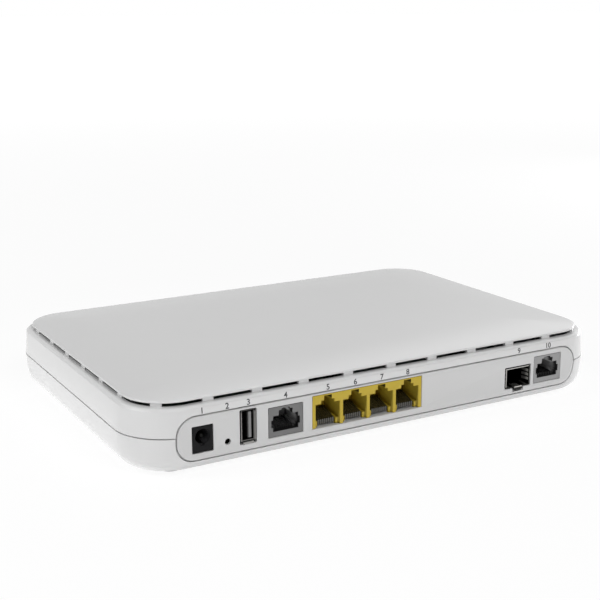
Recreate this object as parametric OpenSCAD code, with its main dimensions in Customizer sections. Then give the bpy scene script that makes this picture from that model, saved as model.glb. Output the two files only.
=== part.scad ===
// Desktop optical network terminal with a row of ports along its rear side.
// Millimetres, +Z up. The origin is on the table under the middle of the case.
// The ports face -Y and the status lights face +Y.

/* [Case] */
// Width of the case at the parting line
case_w = 239; // [236:1:260]
// Depth of the case at the parting line
case_d = 163; // [162:1:190]
// Plan radius of the case corners at the parting line
corner_r = 23; // [21:0.5:25]
// Wall thickness of both shells
wall = 2; // [1.8:0.1:2.3]
// Height that the feet hold the case off the table
foot_h = 1.5; // [1.2:0.1:2.5]
// Radius of a foot
foot_r = 5.5; // [4:0.5:6.5]
// Depth of the pocket that a foot is glued into
foot_pocket = 0.6; // [0.4:0.1:0.9]
// Glue gap round a foot in its pocket
foot_gap = 0.15; // [0.1:0.05:0.3]
// Distance of the middle of a foot from the end of the case
foot_edge_x = 20.5; // [19:0.5:24]
// Distance of the middle of a foot from the side of the case
foot_edge_y = 16; // [15:0.5:20]
// Height of the parting line above the table
parting_z = 17.3; // [16:0.1:19]
// Height of the fine line shown between the shells
reveal = 0.4; // [0.2:0.05:0.6]
// Height of the lap tongue between the shells
lap_h = 2; // [1.5:0.1:2.5]
// Clearance of the lap tongue
lap_gap = 0.15; // [0.1:0.05:0.25]
// How far the lower wall leans in above the bottom rounding
base_inset = 0.7; // [0.4:0.1:1]
// Radius of the bottom rounding
base_r = 7; // [6:0.5:8]

/* [Top plate and vents] */
// Height of the upper wall from the parting line to the rim of the vent slope
rim_rise = 11.2; // [11:0.1:12]
// How far the side wall leans in at the rim
rim_inset = 1; // [0.6:0.1:1.4]
// Height of the underside of the top plate above the rim
plate_rise = 2.3; // [2:0.1:3]
// How far the edge of the top plate stands in
plate_inset = 4; // [3.6:0.1:5]
// Thickness of the top plate at its edge
plate_edge = 0.9; // [0.7:0.1:1.2]
// Rise of the top plate from its edge to its middle
crown = 1.2; // [0.8:0.1:1.6]
// Height of the vent slot under the plate edge
slot_h = 1.3; // [1:0.1:1.6]
// Number of ribs round the top plate
rib_count = 34; // [26:2:40]
// Width of one rib
rib_w = 4.2; // [3:0.1:5]
// Number of vent slots in each row of the floor
floor_slot_count = 13; // [7:2:15]
// Spacing of the floor slots
floor_slot_pitch = 5; // [4:0.5:6]
// Width of a floor slot
floor_slot_w = 2; // [1.5:0.1:2.5]
// Length of a floor slot
floor_slot_l = 24; // [16:1:28]
// Distance of each row of floor slots from the middle
floor_slot_y = 30; // [26:1:32]

/* [Screws and wall mount] */
// Distance of the case screws from the ends of the case
screw_edge_x = 12.5; // [11.5:0.5:13]
// Distance of the case screws from the long sides of the case
screw_edge_y = 33.5; // [31:0.5:40]
// How far the lower screw bosses stand above the board
boss_rise = 6; // [5:0.5:8]
// Radius of a screw boss
boss_r = 3.8; // [3.6:0.1:4]
// Shank radius of a case screw
screw_r = 1.4; // [1.2:0.1:1.5]
// Head radius of a case screw
screw_head_r = 2.6; // [2.3:0.1:2.8]
// Head height of a case screw
screw_head_h = 1.8; // [1.4:0.1:2]
// Thread length of a case screw in the cover
screw_grip = 9; // [6:0.5:11]
// Depth of a case screw head below the floor
screw_sink = 0.6; // [0.3:0.1:1]
// Clearance round a screw
screw_gap = 0.2; // [0.1:0.05:0.3]
// Clearance of a screw thread in its boss
thread_gap = 0.05; // [0.02:0.01:0.1]
// Room under the tip of a screw
screw_tip_gap = 0.3; // [0.2:0.1:0.6]
// Distance between the two wall-mount keyholes
keyhole_span = 120; // [100:1:130]
// Radius of the round entry of a keyhole
keyhole_r = 4; // [3.5:0.1:5]
// Width of the narrow part of a keyhole
keyhole_slot_w = 4; // [3:0.1:4.2]
// Length of the narrow part of a keyhole
keyhole_slot_l = 9; // [7:0.5:12]

/* [Port panel] */
// Distance of the panel from each end of the case
panel_end = 17.5; // [17:0.5:19]
// Gap between the tallest cut-out and the border of the panel
panel_top_gap = 0.1; // [0.05:0.05:0.4]
// Corner radius of the panel
panel_r = 8; // [6:0.5:9]
// Thickness of the panel
panel_t = 2.2; // [1.8:0.1:2.6]
// How far the panel lies below the top of the board
panel_drop = 2.75; // [2.6:0.05:3]
// How far the panel face stands in from the parting line
panel_inset = 0.35; // [0.2:0.05:0.6]
// Width of the raised border of the panel
panel_border = 1.3; // [1:0.1:1.4]
// Depth of the flat inside the border
panel_dish = 0.4; // [0.2:0.05:0.6]
// Gap between the panel and the shells
panel_gap = 0.3; // [0.2:0.05:0.4]
// Width of the flange that traps the panel behind the shells
flange_w = 1.2; // [1:0.1:1.4]
// Thickness of that flange
flange_t = 1; // [0.8:0.1:1.2]
// How far the sockets stand behind the flat of the panel
port_set = 0.2; // [0.1:0.05:0.4]
// Gap between a socket and its cut-out in the panel
port_gap = 0.15; // [0.1:0.05:0.25]

/* [Board] */
// Height of the upper face of the board above the table
board_top = 9.9; // [9.6:0.1:10.4]
// Thickness of the board
board_t = 1.6; // [1.2:0.1:2]
// Gap between the ends of the board and the screw bosses
board_end_gap = 2.2; // [1.5:0.1:3]
// Gap between the board and the front wall
board_front_gap = 7; // [5:0.5:12]
// Corner radius of the board
board_corner_r = 2; // [1:0.5:4]
// Gap between the board and the panel flange
board_gap = 0.4; // [0.3:0.1:0.8]
// Radius of a board standoff
standoff_r = 3; // [2.6:0.1:3.4]
// Distance of the corner standoffs from the board ends
standoff_edge = 8; // [7:0.5:10]
// Distance of the middle standoffs from the rear of the board
standoff_mid_y = 52; // [46:1:60]
// Shank radius of a board screw
board_screw_r = 1.2; // [1:0.1:1.4]
// Head radius of a board screw
board_screw_head_r = 2.4; // [2.1:0.1:2.6]
// Head height of a board screw
board_screw_head_h = 1.5; // [1.2:0.1:1.8]
// Length of a board screw below its head
board_screw_l = 5.5; // [4.5:0.1:6]

/* [Power inlet] */
// Distance of the middle of the inlet from the end of the panel
dc_edge = 10.9; // [10:0.1:11.5]
// Width of the inlet body
dc_w = 9; // [8.6:0.1:9.4]
// Height of the inlet body
dc_h = 11; // [10.4:0.1:11.4]
// Length of the inlet body
dc_l = 14.2; // [13:0.1:15]
// Height of the inlet axis above the board
dc_axis_h = 6.5; // [6:0.1:7]
// Radius of the inlet bore
dc_bore_r = 3.15; // [3:0.05:3.3]
// Depth of the inlet bore
dc_bore_l = 10; // [9:0.1:11]
// Radius of the centre pin
dc_pin_r = 1; // [0.8:0.05:1.25]
// Length of the centre pin
dc_pin_l = 9.2; // [8:0.1:9.5]
// Width of the side spring of the inlet
dc_spring_w = 1.4; // [1:0.1:2]
// Thickness of the side spring of the inlet
dc_spring_t = 0.3; // [0.2:0.05:0.4]
// How far the side spring stands behind the face of the inlet
dc_spring_set = 2.5; // [2:0.1:3]
// Gap beside the side spring
dc_spring_gap = 0.1; // [0.05:0.05:0.2]

/* [Reset switch] */
// Distance from the power inlet to the reset hole
reset_step = 10.95; // [10.5:0.05:11.5]
// Height of the reset hole above the board
reset_h = 2.25; // [2.1:0.05:2.5]
// Radius of the reset hole
reset_hole_r = 1.2; // [1:0.05:1.3]
// Width of the switch body
reset_w = 6; // [5.5:0.1:6.5]
// Depth of the switch body
reset_d = 3.6; // [3.4:0.1:4.5]
// Gap from the board end to the switch
reset_set = 1.6; // [1.5:0.1:2]
// Radius of the plunger
reset_plunger_r = 0.9; // [0.7:0.05:1]
// Width of the collar round the plunger
reset_collar_w = 0.5; // [0.4:0.05:0.6]
// Thickness of that collar
reset_collar_t = 0.5; // [0.4:0.05:0.6]
// Thickness of the front wall of the switch
reset_front_wall = 0.6; // [0.5:0.05:0.7]
// Thickness of the switch above the collar
reset_roof = 0.4; // [0.3:0.05:0.6]
// How far the plunger stands out of the switch
reset_stroke_out = 1.4; // [1:0.1:1.5]
// Travel of the plunger
reset_travel = 0.25; // [0.15:0.05:0.35]
// Running clearance of the plunger
reset_gap = 0.06; // [0.04:0.01:0.1]

/* [USB socket] */
// Distance from the reset hole to the socket
usb_step = 9.45; // [9.2:0.05:10]
// Outer width of the metal shell
usb_w = 5.7; // [5.6:0.05:5.9]
// Outer height of the metal shell
usb_h = 13.1; // [13:0.05:13.4]
// Length of the metal shell
usb_l = 14; // [12:0.5:16]
// Sheet thickness of the metal shell
usb_sheet = 0.35; // [0.25:0.05:0.4]
// Height of the shell above the board
usb_lift = 0.65; // [0.5:0.05:0.8]
// Gap from the shell to the panel on each side
usb_gap = 0.85; // [0.6:0.05:1]
// Thickness of the tongue
usb_tongue_t = 1.85; // [1.7:0.05:2]
// Height of the tongue
usb_tongue_h = 11; // [10.5:0.1:11.2]
// Offset of the tongue from the middle of the shell
usb_tongue_x = 0.75; // [0.6:0.05:0.9]
// Length of the block at the back of the shell
usb_block_l = 4; // [3:0.1:5]

/* [Eight-way sockets] */
// Gap between the USB socket and the console socket
console_gap = 6.15; // [5.5:0.05:7]
// Distance of the wide-area socket from the end of the panel
wan_edge = 8.1; // [7.5:0.1:9]
// Thickness of a single socket beside its side notches
jack_side = 1.35; // [1.1:0.05:1.5]
// Thickness of a single socket above the key of its mouth
jack_roof = 0.9; // [0.7:0.1:1.1]
// Thickness of a single socket behind its mouth
jack_back = 2.5; // [1.5:0.1:5]
// Depth of the mouth of a socket
mouth_l = 13; // [12.5:0.1:13.5]
// Height of the mouth above the bottom of a single socket
mouth_floor = 2.3; // [2.1:0.1:2.5]
// Width of the mouth
mouth_w = 11.7; // [11.6:0.1:12]
// Height of the mouth
mouth_h = 6.7; // [6.6:0.1:6.8]
// Depth of the notch in each side of the mouth
notch_d = 0.8; // [0.5:0.1:1]
// Height of the side notches
notch_h = 3.1; // [2.5:0.1:3.5]
// Height of the side notches above the mouth floor
notch_rise = 1.8; // [1.5:0.1:2]
// Width of the latch channel over the mouth
latch_w = 6.4; // [6:0.1:6.8]
// Height of the latch channel
latch_h = 2.2; // [1.8:0.1:2.3]
// Width of the key on top of the latch channel
key_w = 3.7; // [3.2:0.1:4.2]
// Height of the key
key_h = 0.7; // [0.5:0.1:0.8]
// Gap between the console socket and the four-socket block
lan_gap = 4.65; // [4:0.05:5.5]
// Width of the posts between the mouths of the block and at its ends
lan_post = 1.55; // [1.4:0.05:1.8]
// Thickness of the block above the keys of its mouths
lan_roof = 0.6; // [0.4:0.1:0.8]
// Thickness of the block behind its mouths
lan_back = 4; // [3:0.5:7]
// Width of each mouth in the block
lan_mouth_w = 11.85; // [11.8:0.05:12.2]
// Height of the mouths in the block above the board
lan_mouth_h = 10.25; // [10.1:0.05:10.4]
// Height of the latch channel in the block
lan_latch_h = 1.5; // [1.2:0.1:1.7]
// Height of the key in the block
lan_key_h = 1.95; // [1.5:0.05:2.1]
// Thickness of the floor of the block
lan_floor = 0.8; // [0.6:0.1:1]
// Height of the ledges beside the contacts of the block
lan_ledge_h = 2.6; // [2.3:0.1:2.8]
// How far the ledges stand behind the face of the block
lan_ledge_set = 1.3; // [1:0.1:1.6]
// Width of the comb that carries the contacts
comb_w = 8.8; // [8.4:0.1:9]
// How far the comb stands behind the face of a socket
comb_set = 2.2; // [2.1:0.1:2.6]
// Length of the comb
comb_l = 8.2; // [7:0.1:9]
// Height of the comb in a single socket at its front
comb_front_h = 1.2; // [1:0.1:1.4]
// Height of the comb in a single socket at its back
comb_back_h = 2; // [1.6:0.1:2]
// Height of the comb in the block at its front
lan_comb_front_h = 1.7; // [1.4:0.1:1.8]
// Height of the comb in the block at its back
lan_comb_back_h = 4.6; // [4:0.1:4.7]
// Number of contacts in a socket
contact_count = 8; // [4:1:8]
// Spacing of the contacts
contact_pitch = 1.02; // [0.98:0.01:1.05]
// Thickness of a contact wire
contact_t = 0.35; // [0.25:0.05:0.4]
// Gap round the comb in the block
comb_gap = 0.05; // [0.02:0.01:0.1]

/* [Optical module cage] */
// Gap between the cage and the wide-area socket
sfp_wan_gap = 2.35; // [2.2:0.05:3.2]
// Outer width of the cage
sfp_w = 14; // [13.8:0.1:14.3]
// Outer height of the cage
sfp_h = 9.4; // [9.2:0.1:9.6]
// Sheet thickness of the cage
sfp_sheet = 0.4; // [0.3:0.05:0.45]
// Gap from the cage to the panel on each side and above
sfp_gap = 0.75; // [0.3:0.05:0.9]
// Length of the cage floor
sfp_floor_l = 32; // [28:0.5:34]
// Width of the latch tongue
sfp_latch_w = 4; // [3.5:0.1:4.4]
// Width of the lip at the end of the latch tongue
sfp_lip_w = 5.6; // [5:0.1:6]
// How far the lip hangs below the cage
sfp_lip_drop = 1; // [0.8:0.1:1.2]
// Clearance round the latch tongue
sfp_latch_gap = 0.3; // [0.2:0.05:0.4]
// Gap between the latch tongue and the cage floor at its bend
sfp_bend_gap = 0.1; // [0.05:0.05:0.2]
// Gap between the bend of the latch tongue and the board
sfp_root_gap = 0.25; // [0.2:0.05:0.4]
// How far the lip stays inside the rear outline of the case
sfp_lip_inset = 0.05; // [0:0.05:0.2]
// Depth of the notch in the panel under the lip
sfp_notch_d = 1.6; // [1.4:0.1:1.8]
// Thickness of a spring finger
finger_t = 0.15; // [0.1:0.01:0.2]
// Width of a spring finger
finger_w = 1.2; // [0.8:0.1:1.4]
// Spacing of the spring fingers
finger_pitch = 2; // [1.8:0.1:2.2]
// Length of a spring finger
finger_l = 3; // [2:0.1:4]
// How far a slanted finger stands into the cage
finger_reach = 0.5; // [0.3:0.05:0.6]
// Distance of the floor fingers from the middle of the cage
floor_finger_x = 5; // [4.6:0.1:5.4]
// Length of the host connector in the cage
host_l = 8; // [7:0.1:9]
// Gap between the cage floor and the host connector
host_front_gap = 4.6; // [2:0.1:6]
// Gap between the host connector and the back of the cage
host_back_gap = 1; // [0.5:0.1:1.5]
// Height of the host connector
host_h = 7.4; // [6.5:0.1:8]
// Width of the host connector
host_w = 12.6; // [12:0.1:12.8]

/* [Chips] */
// Place of the processor across the case
soc_x = 14; // [0:1:20]
// Place of the processor front to back
soc_y = 6; // [4:1:12]
// Side of the processor
soc_w = 19; // [15:0.5:23]
// Height of the processor
soc_h = 1.3; // [1:0.1:1.6]
// Thickness of the thermal pad
pad_t = 0.5; // [0.3:0.1:1]
// Side of the heat sink
sink_w = 40; // [30:1:44]
// Height of the heat sink
sink_h = 12; // [8:0.5:13]
// Thickness of the heat sink base
sink_base = 2.5; // [2:0.1:3]
// Number of fins
fin_count = 9; // [5:1:12]
// Thickness of a fin
fin_t = 1.2; // [0.8:0.1:1.5]
// Height of a flat chip package
chip_h = 1.1; // [0.8:0.1:1.4]
// Gap between the heat sink and the chips round it
chip_gap = 3.5; // [2:0.5:5]
// How far the leads of a package reach out
lead_w = 1; // [0.6:0.1:1.4]
// Width of a memory chip
memory_w = 9; // [7:0.5:10]
// Depth of a memory chip
memory_d = 13; // [10:0.5:14]
// Distance between the memory chips
memory_pitch = 16; // [14:0.5:20]
// Width of the flash chip
flash_w = 18; // [14:0.5:20]
// Depth of the flash chip
flash_d = 12; // [8:0.5:14]
// Side of the switch chip
switch_w = 14; // [10:0.5:16]
// Width of a crystal
crystal_w = 5; // [4:0.1:5.5]
// Length of a crystal
crystal_l = 11; // [8:0.5:12]
// Height of a crystal
crystal_h = 3.5; // [2.5:0.1:4]
// Distance of the power parts from the inlet
power_set = 18; // [14:0.5:24]
// Gap between two power parts
power_gap = 5; // [3:0.5:7]
// Radius of an electrolytic capacitor
cap_r = 4; // [3:0.1:4.2]
// Height of an electrolytic capacitor
cap_h = 11; // [8:0.5:12]
// Side of a power inductor
coil_w = 7; // [5:0.1:8]
// Height of a power inductor
coil_h = 4; // [3:0.1:5]
// Height of a line transformer
transformer_h = 6; // [4:0.1:6.5]
// Depth of a line transformer
transformer_d = 8; // [6:0.5:9]
// Width of a line transformer behind the block
transformer_w = 9; // [7:0.5:10]
// Width of the line transformer behind the wide-area socket
wan_transformer_w = 12; // [9:0.5:14]
// Gap between a socket and its line transformer
transformer_gap = 5; // [3:0.5:7]

/* [Status lights] */
// Number of status lights
led_count = 6; // [3:1:8]
// Spacing of the status lights
led_pitch = 12; // [8:0.5:12]
// Height of the light windows above the lap tongue
led_lift = 2.7; // [2:0.1:4]
// Radius of a light window
led_r = 1.1; // [0.8:0.05:1.4]
// Gap round a light rod
led_gap = 0.1; // [0.05:0.01:0.2]
// Distance of the lights from the front end of the board
led_set = 5; // [4:0.5:8]
// Side of a light leg
led_leg = 2.6; // [2:0.1:3]
// Height of a light chip
led_h = 0.8; // [0.6:0.1:1]
// Width of a light chip
led_w = 2; // [1.6:0.1:2.4]
// Depth of a light chip
led_d = 1.25; // [0.8:0.05:1.6]
// Gap between a light chip and its leg
led_rise = 0.3; // [0.2:0.05:0.5]

/* [Hidden] */
$fn = 64;

// A small overshoot that keeps cuts from ending on a face
eps = 0.5;

// Heights of the upper shell
rim_z = parting_z + rim_rise;
plate_z = rim_z + plate_rise;

// Corner arc centres of the plan
arc_x = case_w / 2 - corner_r;
arc_y = case_d / 2 - corner_r;
rear_y = -case_d / 2;
front_y = case_d / 2;

// Bottom rounding: centre of its arc and the floor
floor_z = foot_h + wall;
base_c = [corner_r - base_inset - base_r, foot_h + base_r];

// Crowned plate: the arc runs from the plate edge to the corner arc centre
plate_run = corner_r - plate_inset;
crown_r = (plate_run * plate_run + crown * crown) / (2 * crown);
top_z = plate_z + plate_edge + crown;

// Lean of the upper wall at a height
function upper_inset(z) = rim_inset * (z - parting_z) / (rim_z - parting_z);

// Inset of the inner face of the lower wall at a height
inner_r = base_r - wall;
function lower_inset(z) = wall + base_inset + (z < base_c[1]
    ? inner_r - sqrt(max(0, inner_r * inner_r - pow(base_c[1] - z, 2))) : 0);

// Sizes of the sockets
jack_w = mouth_w + 2 * (notch_d + jack_side);
jack_h = mouth_floor + mouth_h + latch_h + key_h + jack_roof;
jack_l = mouth_l + jack_back;
lan_pitch = lan_mouth_w + lan_post;
lan_w = 4 * lan_pitch + lan_post;
lan_h = lan_mouth_h + lan_latch_h + lan_key_h + lan_roof;
lan_l = mouth_l + lan_back;
sfp_l = sfp_floor_l + host_front_gap + host_l + host_back_gap + sfp_sheet;
usb_window_h = usb_h + 2 * usb_lift;
port_top = max(max(lan_h, jack_h, dc_h) + port_gap, sfp_h + sfp_gap, usb_window_h);

// Rows along Y behind the panel
panel_front = rear_y + panel_inset;
panel_face = panel_front + panel_dish;
panel_back = panel_front + panel_t;
panel_low = board_top - panel_drop;
panel_w = case_w - 2 * panel_end;
panel_h = panel_drop + port_top + panel_top_gap + panel_border;
panel_mid = panel_low + panel_h / 2;

// Places of the sockets: one row from each end of the panel
dc_x = -panel_w / 2 + dc_edge;
reset_x = dc_x + reset_step;
usb_x = reset_x + usb_step;
console_x = usb_x + usb_w / 2 + console_gap + jack_w / 2;
lan_x = console_x + jack_w / 2 + lan_gap + lan_w / 2;
wan_x = panel_w / 2 - wan_edge - jack_w / 2;
sfp_x = wan_x - jack_w / 2 - sfp_wan_gap - sfp_w / 2;

port_y = panel_face + port_set;
flange_front = rear_y + panel_gap + max(lower_inset(panel_low - flange_w - panel_gap), wall + rim_inset);
flange_back = max(flange_front, panel_back) + flange_t;
board_rear = flange_back + board_gap;
board_front = front_y - wall - base_inset - board_front_gap;
board_d = board_front - board_rear;
board_w = case_w - 2 * (screw_edge_x + boss_r + board_end_gap);
board_low = board_top - board_t;

// Screws
screw_x = case_w / 2 - screw_edge_x;
screw_y = case_d / 2 - screw_edge_y;
case_screw_at = [for (sx = [-1, 1], sy = [-1, 1]) [sx * screw_x, sy * screw_y]];
boss_split = board_top + boss_rise;
screw_seat = foot_h + screw_sink + screw_head_h;
screw_end = boss_split + screw_grip;
standoff_x = board_w / 2 - standoff_edge;
standoff_at = [
    [-standoff_x, board_front - standoff_edge], [standoff_x, board_front - standoff_edge],
    [-standoff_x, board_rear + standoff_mid_y], [standoff_x, board_rear + standoff_mid_y],
    [(lan_x + lan_w / 2 + sfp_x - sfp_w / 2) / 2, board_rear + standoff_edge]
];
floor_slot_xs = [for (i = [0:floor_slot_count - 1]) (i - (floor_slot_count - 1) / 2) * floor_slot_pitch];
foot_x = case_w / 2 - foot_edge_x;
foot_y = case_d / 2 - foot_edge_y;

// Heat sink stack over the processor
soc_at = [soc_x, soc_y];
pad_z = board_top + soc_h;
sink_z = pad_z + pad_t;
sink_front = soc_at[1] + sink_w / 2;
switch_y = soc_at[1] - sink_w / 2 - chip_gap - switch_w / 2;
power_x = dc_x + power_set;

// Status lights
led_z = parting_z + lap_h + led_lift;
led_y = board_front - led_set;
led_top = board_top + led_h;
light_end = front_y - upper_inset(led_z) - led_gap;
led_xs = [for (i = [0:led_count - 1]) (i - (led_count - 1) / 2) * led_pitch];

// Socket mouths of the four-socket block
lan_xs = [for (i = [-1.5:1:1.5]) i * lan_pitch];
contact_xs = [for (i = [0:contact_count - 1]) (i - (contact_count - 1) / 2) * contact_pitch];

// Reset switch
reset_front = board_rear + reset_set;
reset_collar_r = reset_plunger_r + reset_collar_w;
reset_top = reset_h + reset_collar_r + reset_roof;
reset_dome_h = 2 * reset_travel;
reset_chamber_l = reset_collar_t + reset_dome_h + reset_gap;

// Latch tongue of the cage: hinge line just behind the panel, clear of the board
latch_root = board_rear - port_y - sfp_root_gap;
lip_reach = port_y - rear_y - sfp_lip_inset;

// Rounded rectangle from squares and circles, centred
module rounded_rect(w, h, r) {
    square([w - 2 * r, h], center = true);
    square([w, h - 2 * r], center = true);
    for (sx = [-1, 1], sy = [-1, 1])
        translate([sx * (w / 2 - r), sy * (h / 2 - r)])
            circle(r);
}

// Slot with round ends, centred, long along Y
module slot_2d(w, l) {
    square([w, l - w], center = true);
    for (s = [-1, 1])
        translate([0, s * (l - w) / 2])
            circle(w / 2);
}

// A flat outline in X and Z, pushed from y0 to y1
module push_y(y0, y1) {
    translate([0, y1, 0])
        rotate([90, 0, 0])
            linear_extrude(y1 - y0)
                children();
}

// A profile in distance from the corner arc centres and height, swept round the plan
module swept() {
    for (c = [[1, 1, 0], [-1, 1, 90], [-1, -1, 180], [1, -1, 270]])
        translate([c[0] * arc_x, c[1] * arc_y, 0])
            rotate([0, 0, c[2]])
                rotate_extrude(angle = 90)
                    children();
    for (s = [0, 180])
        rotate([0, 0, s]) {
            translate([arc_x, 0, 0])
                rotate([90, 0, 0])
                    linear_extrude(2 * arc_y, center = true)
                        children();
            rotate([0, 0, 90])
                translate([arc_y, 0, 0])
                    rotate([90, 0, 0])
                        linear_extrude(2 * arc_x, center = true)
                            children();
        }
}

// The block inside the swept ring
module core(z0, z1) {
    translate([-arc_x, -arc_y, z0])
        cube([2 * arc_x, 2 * arc_y, z1 - z0]);
}

// Upper shell outline: land, reveal, leaning wall, vent slope and crowned plate
module cover_outer_2d() {
    reveal_d = 0.3 * wall;
    polygon([
        [0, parting_z],
        [corner_r - reveal_d, parting_z],
        [corner_r - reveal_d, parting_z + reveal],
        [corner_r - upper_inset(parting_z + reveal), parting_z + reveal],
        [corner_r - rim_inset, rim_z],
        [plate_run, plate_z],
        [plate_run, plate_z + plate_edge],
        [0, plate_z + plate_edge]
    ]);
    intersection() {
        translate([0, plate_z])
            square([plate_run, plate_edge + crown + eps]);
        translate([0, top_z - crown_r])
            circle(crown_r, $fn = 256);
    }
}

// Upper shell hollow, with the relief for the lap tongue
module cover_inner_2d() {
    polygon([
        [0, parting_z - eps],
        [corner_r - wall / 2, parting_z - eps],
        [corner_r - wall / 2, parting_z + lap_h + lap_gap],
        [corner_r - wall - upper_inset(parting_z + lap_h + lap_gap), parting_z + lap_h + lap_gap],
        [corner_r - wall - rim_inset, rim_z],
        [plate_run - wall, plate_z],
        [0, plate_z]
    ]);
}

// Lower shell outline moved in by t: floor, bottom rounding and leaning wall
module base_2d(t) {
    r = base_r - t;
    top = [corner_r - t, parting_z];
    d = top - base_c;
    turn = atan2(d[1], d[0]) - acos(r / norm(d));
    touch = base_c + r * [cos(turn), sin(turn)];
    polygon([[0, foot_h + t], [base_c[0], foot_h + t], base_c, touch, top, [0, parting_z]]);
    translate(base_c)
        circle(r);
}

// A place on the vent ring at a distance s along it from the middle of the rear: x, y and heading
function ring_at(s, r) =
    let (quarter = r * PI / 2, half = arc_x + quarter + 2 * arc_y + quarter + arc_x)
    s < 0 ? let (p = ring_at(-s, r)) [-p[0], p[1], -p[2]]
    : s <= arc_x ? [s, -arc_y - r, 0]
    : s <= arc_x + quarter ?
        let (a = (s - arc_x) / r * 180 / PI) [arc_x + r * sin(a), -arc_y - r * cos(a), a]
    : s <= arc_x + quarter + 2 * arc_y ? [arc_x + r, -arc_y + s - arc_x - quarter, 90]
    : s <= half - arc_x ?
        let (a = (s - arc_x - quarter - 2 * arc_y) / r * 180 / PI)
            [arc_x + r * cos(a), arc_y + r * sin(a), 90 + a]
    : [half - s, arc_y + r, 180];

// The gaps between the ribs under the plate edge
module vent_slots() {
    inner = plate_run - wall - eps;
    ring = 4 * (arc_x + arc_y) + 2 * PI * plate_run;
    pitch = ring / rib_count;
    difference() {
        swept()
            translate([inner, plate_z - slot_h])
                square([corner_r + eps - inner, slot_h]);
        for (i = [0:rib_count - 1]) {
            p = ring_at((i - rib_count / 2 + 0.5 * (rib_count % 2)) * pitch, plate_run);
            translate([p[0], p[1], plate_z])
                rotate([0, 0, p[2]])
                    cube([rib_w, 6 * plate_inset, 4 * slot_h], center = true);
        }
    }
}

// Opening for the port panel through the rear wall
module panel_window() {
    translate([0, 0, panel_mid])
        push_y(rear_y - eps, flange_front + flange_t)
            rounded_rect(panel_w + 2 * panel_gap, panel_h + 2 * panel_gap, panel_r + panel_gap);
}

module top_cover() {
    color("whitesmoke")
        difference() {
            union() {
                difference() {
                    union() {
                        swept()
                            cover_outer_2d();
                        core(parting_z, top_z);
                    }
                    swept()
                        cover_inner_2d();
                    core(parting_z - eps, plate_z);
                    vent_slots();
                }
                for (p = case_screw_at)
                    translate([p[0], p[1], boss_split])
                        cylinder(r = boss_r, h = plate_z - boss_split);
            }
            panel_window();
            for (p = case_screw_at)
                translate([p[0], p[1], boss_split - eps])
                    cylinder(r = screw_r + thread_gap, h = screw_grip + eps + screw_tip_gap);
            for (x = led_xs)
                translate([x, front_y - 2 * wall, led_z])
                    rotate([-90, 0, 0])
                        cylinder(r = led_r + led_gap, h = 4 * wall);
        }
}

module bottom_case() {
    tongue_in = corner_r - wall;
    color("whitesmoke")
        difference() {
            union() {
                difference() {
                    union() {
                        swept()
                            base_2d(0);
                        core(foot_h, parting_z);
                        swept()
                            translate([tongue_in, parting_z - lap_h])
                                square([wall / 2 - lap_gap, 2 * lap_h]);
                    }
                    swept()
                        base_2d(wall);
                    core(floor_z, parting_z);
                }
                for (p = case_screw_at)
                    translate([p[0], p[1], foot_h + wall / 2])
                        cylinder(r = boss_r, h = boss_split - foot_h - wall / 2);
                for (p = standoff_at)
                    translate([p[0], p[1], foot_h + wall / 2])
                        cylinder(r = standoff_r, h = board_low - foot_h - wall / 2);
            }
            panel_window();
            for (p = case_screw_at)
                translate([p[0], p[1], foot_h - eps]) {
                    cylinder(r = screw_r + screw_gap, h = boss_split - foot_h + 2 * eps);
                    cylinder(r = screw_head_r + screw_gap, h = screw_seat - foot_h + eps);
                }
            for (p = standoff_at)
                translate([p[0], p[1], board_top - board_screw_l - screw_tip_gap])
                    cylinder(r = board_screw_r + thread_gap, h = board_screw_l);
            for (sx = [-1, 1], sy = [-1, 1])
                translate([sx * foot_x, sy * foot_y, foot_h - eps])
                    cylinder(r = foot_r + foot_gap, h = foot_pocket + eps);
            for (sx = [-1, 1])
                translate([sx * keyhole_span / 2, 0, foot_h - eps]) {
                    cylinder(r = keyhole_r, h = wall + 2 * eps);
                    linear_extrude(wall + 2 * eps)
                        translate([0, keyhole_slot_l / 2])
                            slot_2d(keyhole_slot_w, keyhole_slot_l + keyhole_slot_w);
                }
            for (x = floor_slot_xs, sy = [-1, 1])
                translate([x, sy * floor_slot_y, foot_h - eps])
                    linear_extrude(wall + 2 * eps)
                        slot_2d(floor_slot_w, floor_slot_l);
        }
}

// A cut-out in the panel over the board, w wide and from z0 to z1 above the board
module panel_cut(x, w, z0, z1) {
    translate([x - w / 2, panel_front - eps, board_top + z0])
        cube([w, panel_t + flange_t + wall, z1 - z0]);
}

// Outline of the flat inside the raised border
module panel_flat_2d() {
    rounded_rect(panel_w - 2 * panel_border, panel_h - 2 * panel_border, panel_r - panel_border);
}

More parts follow.
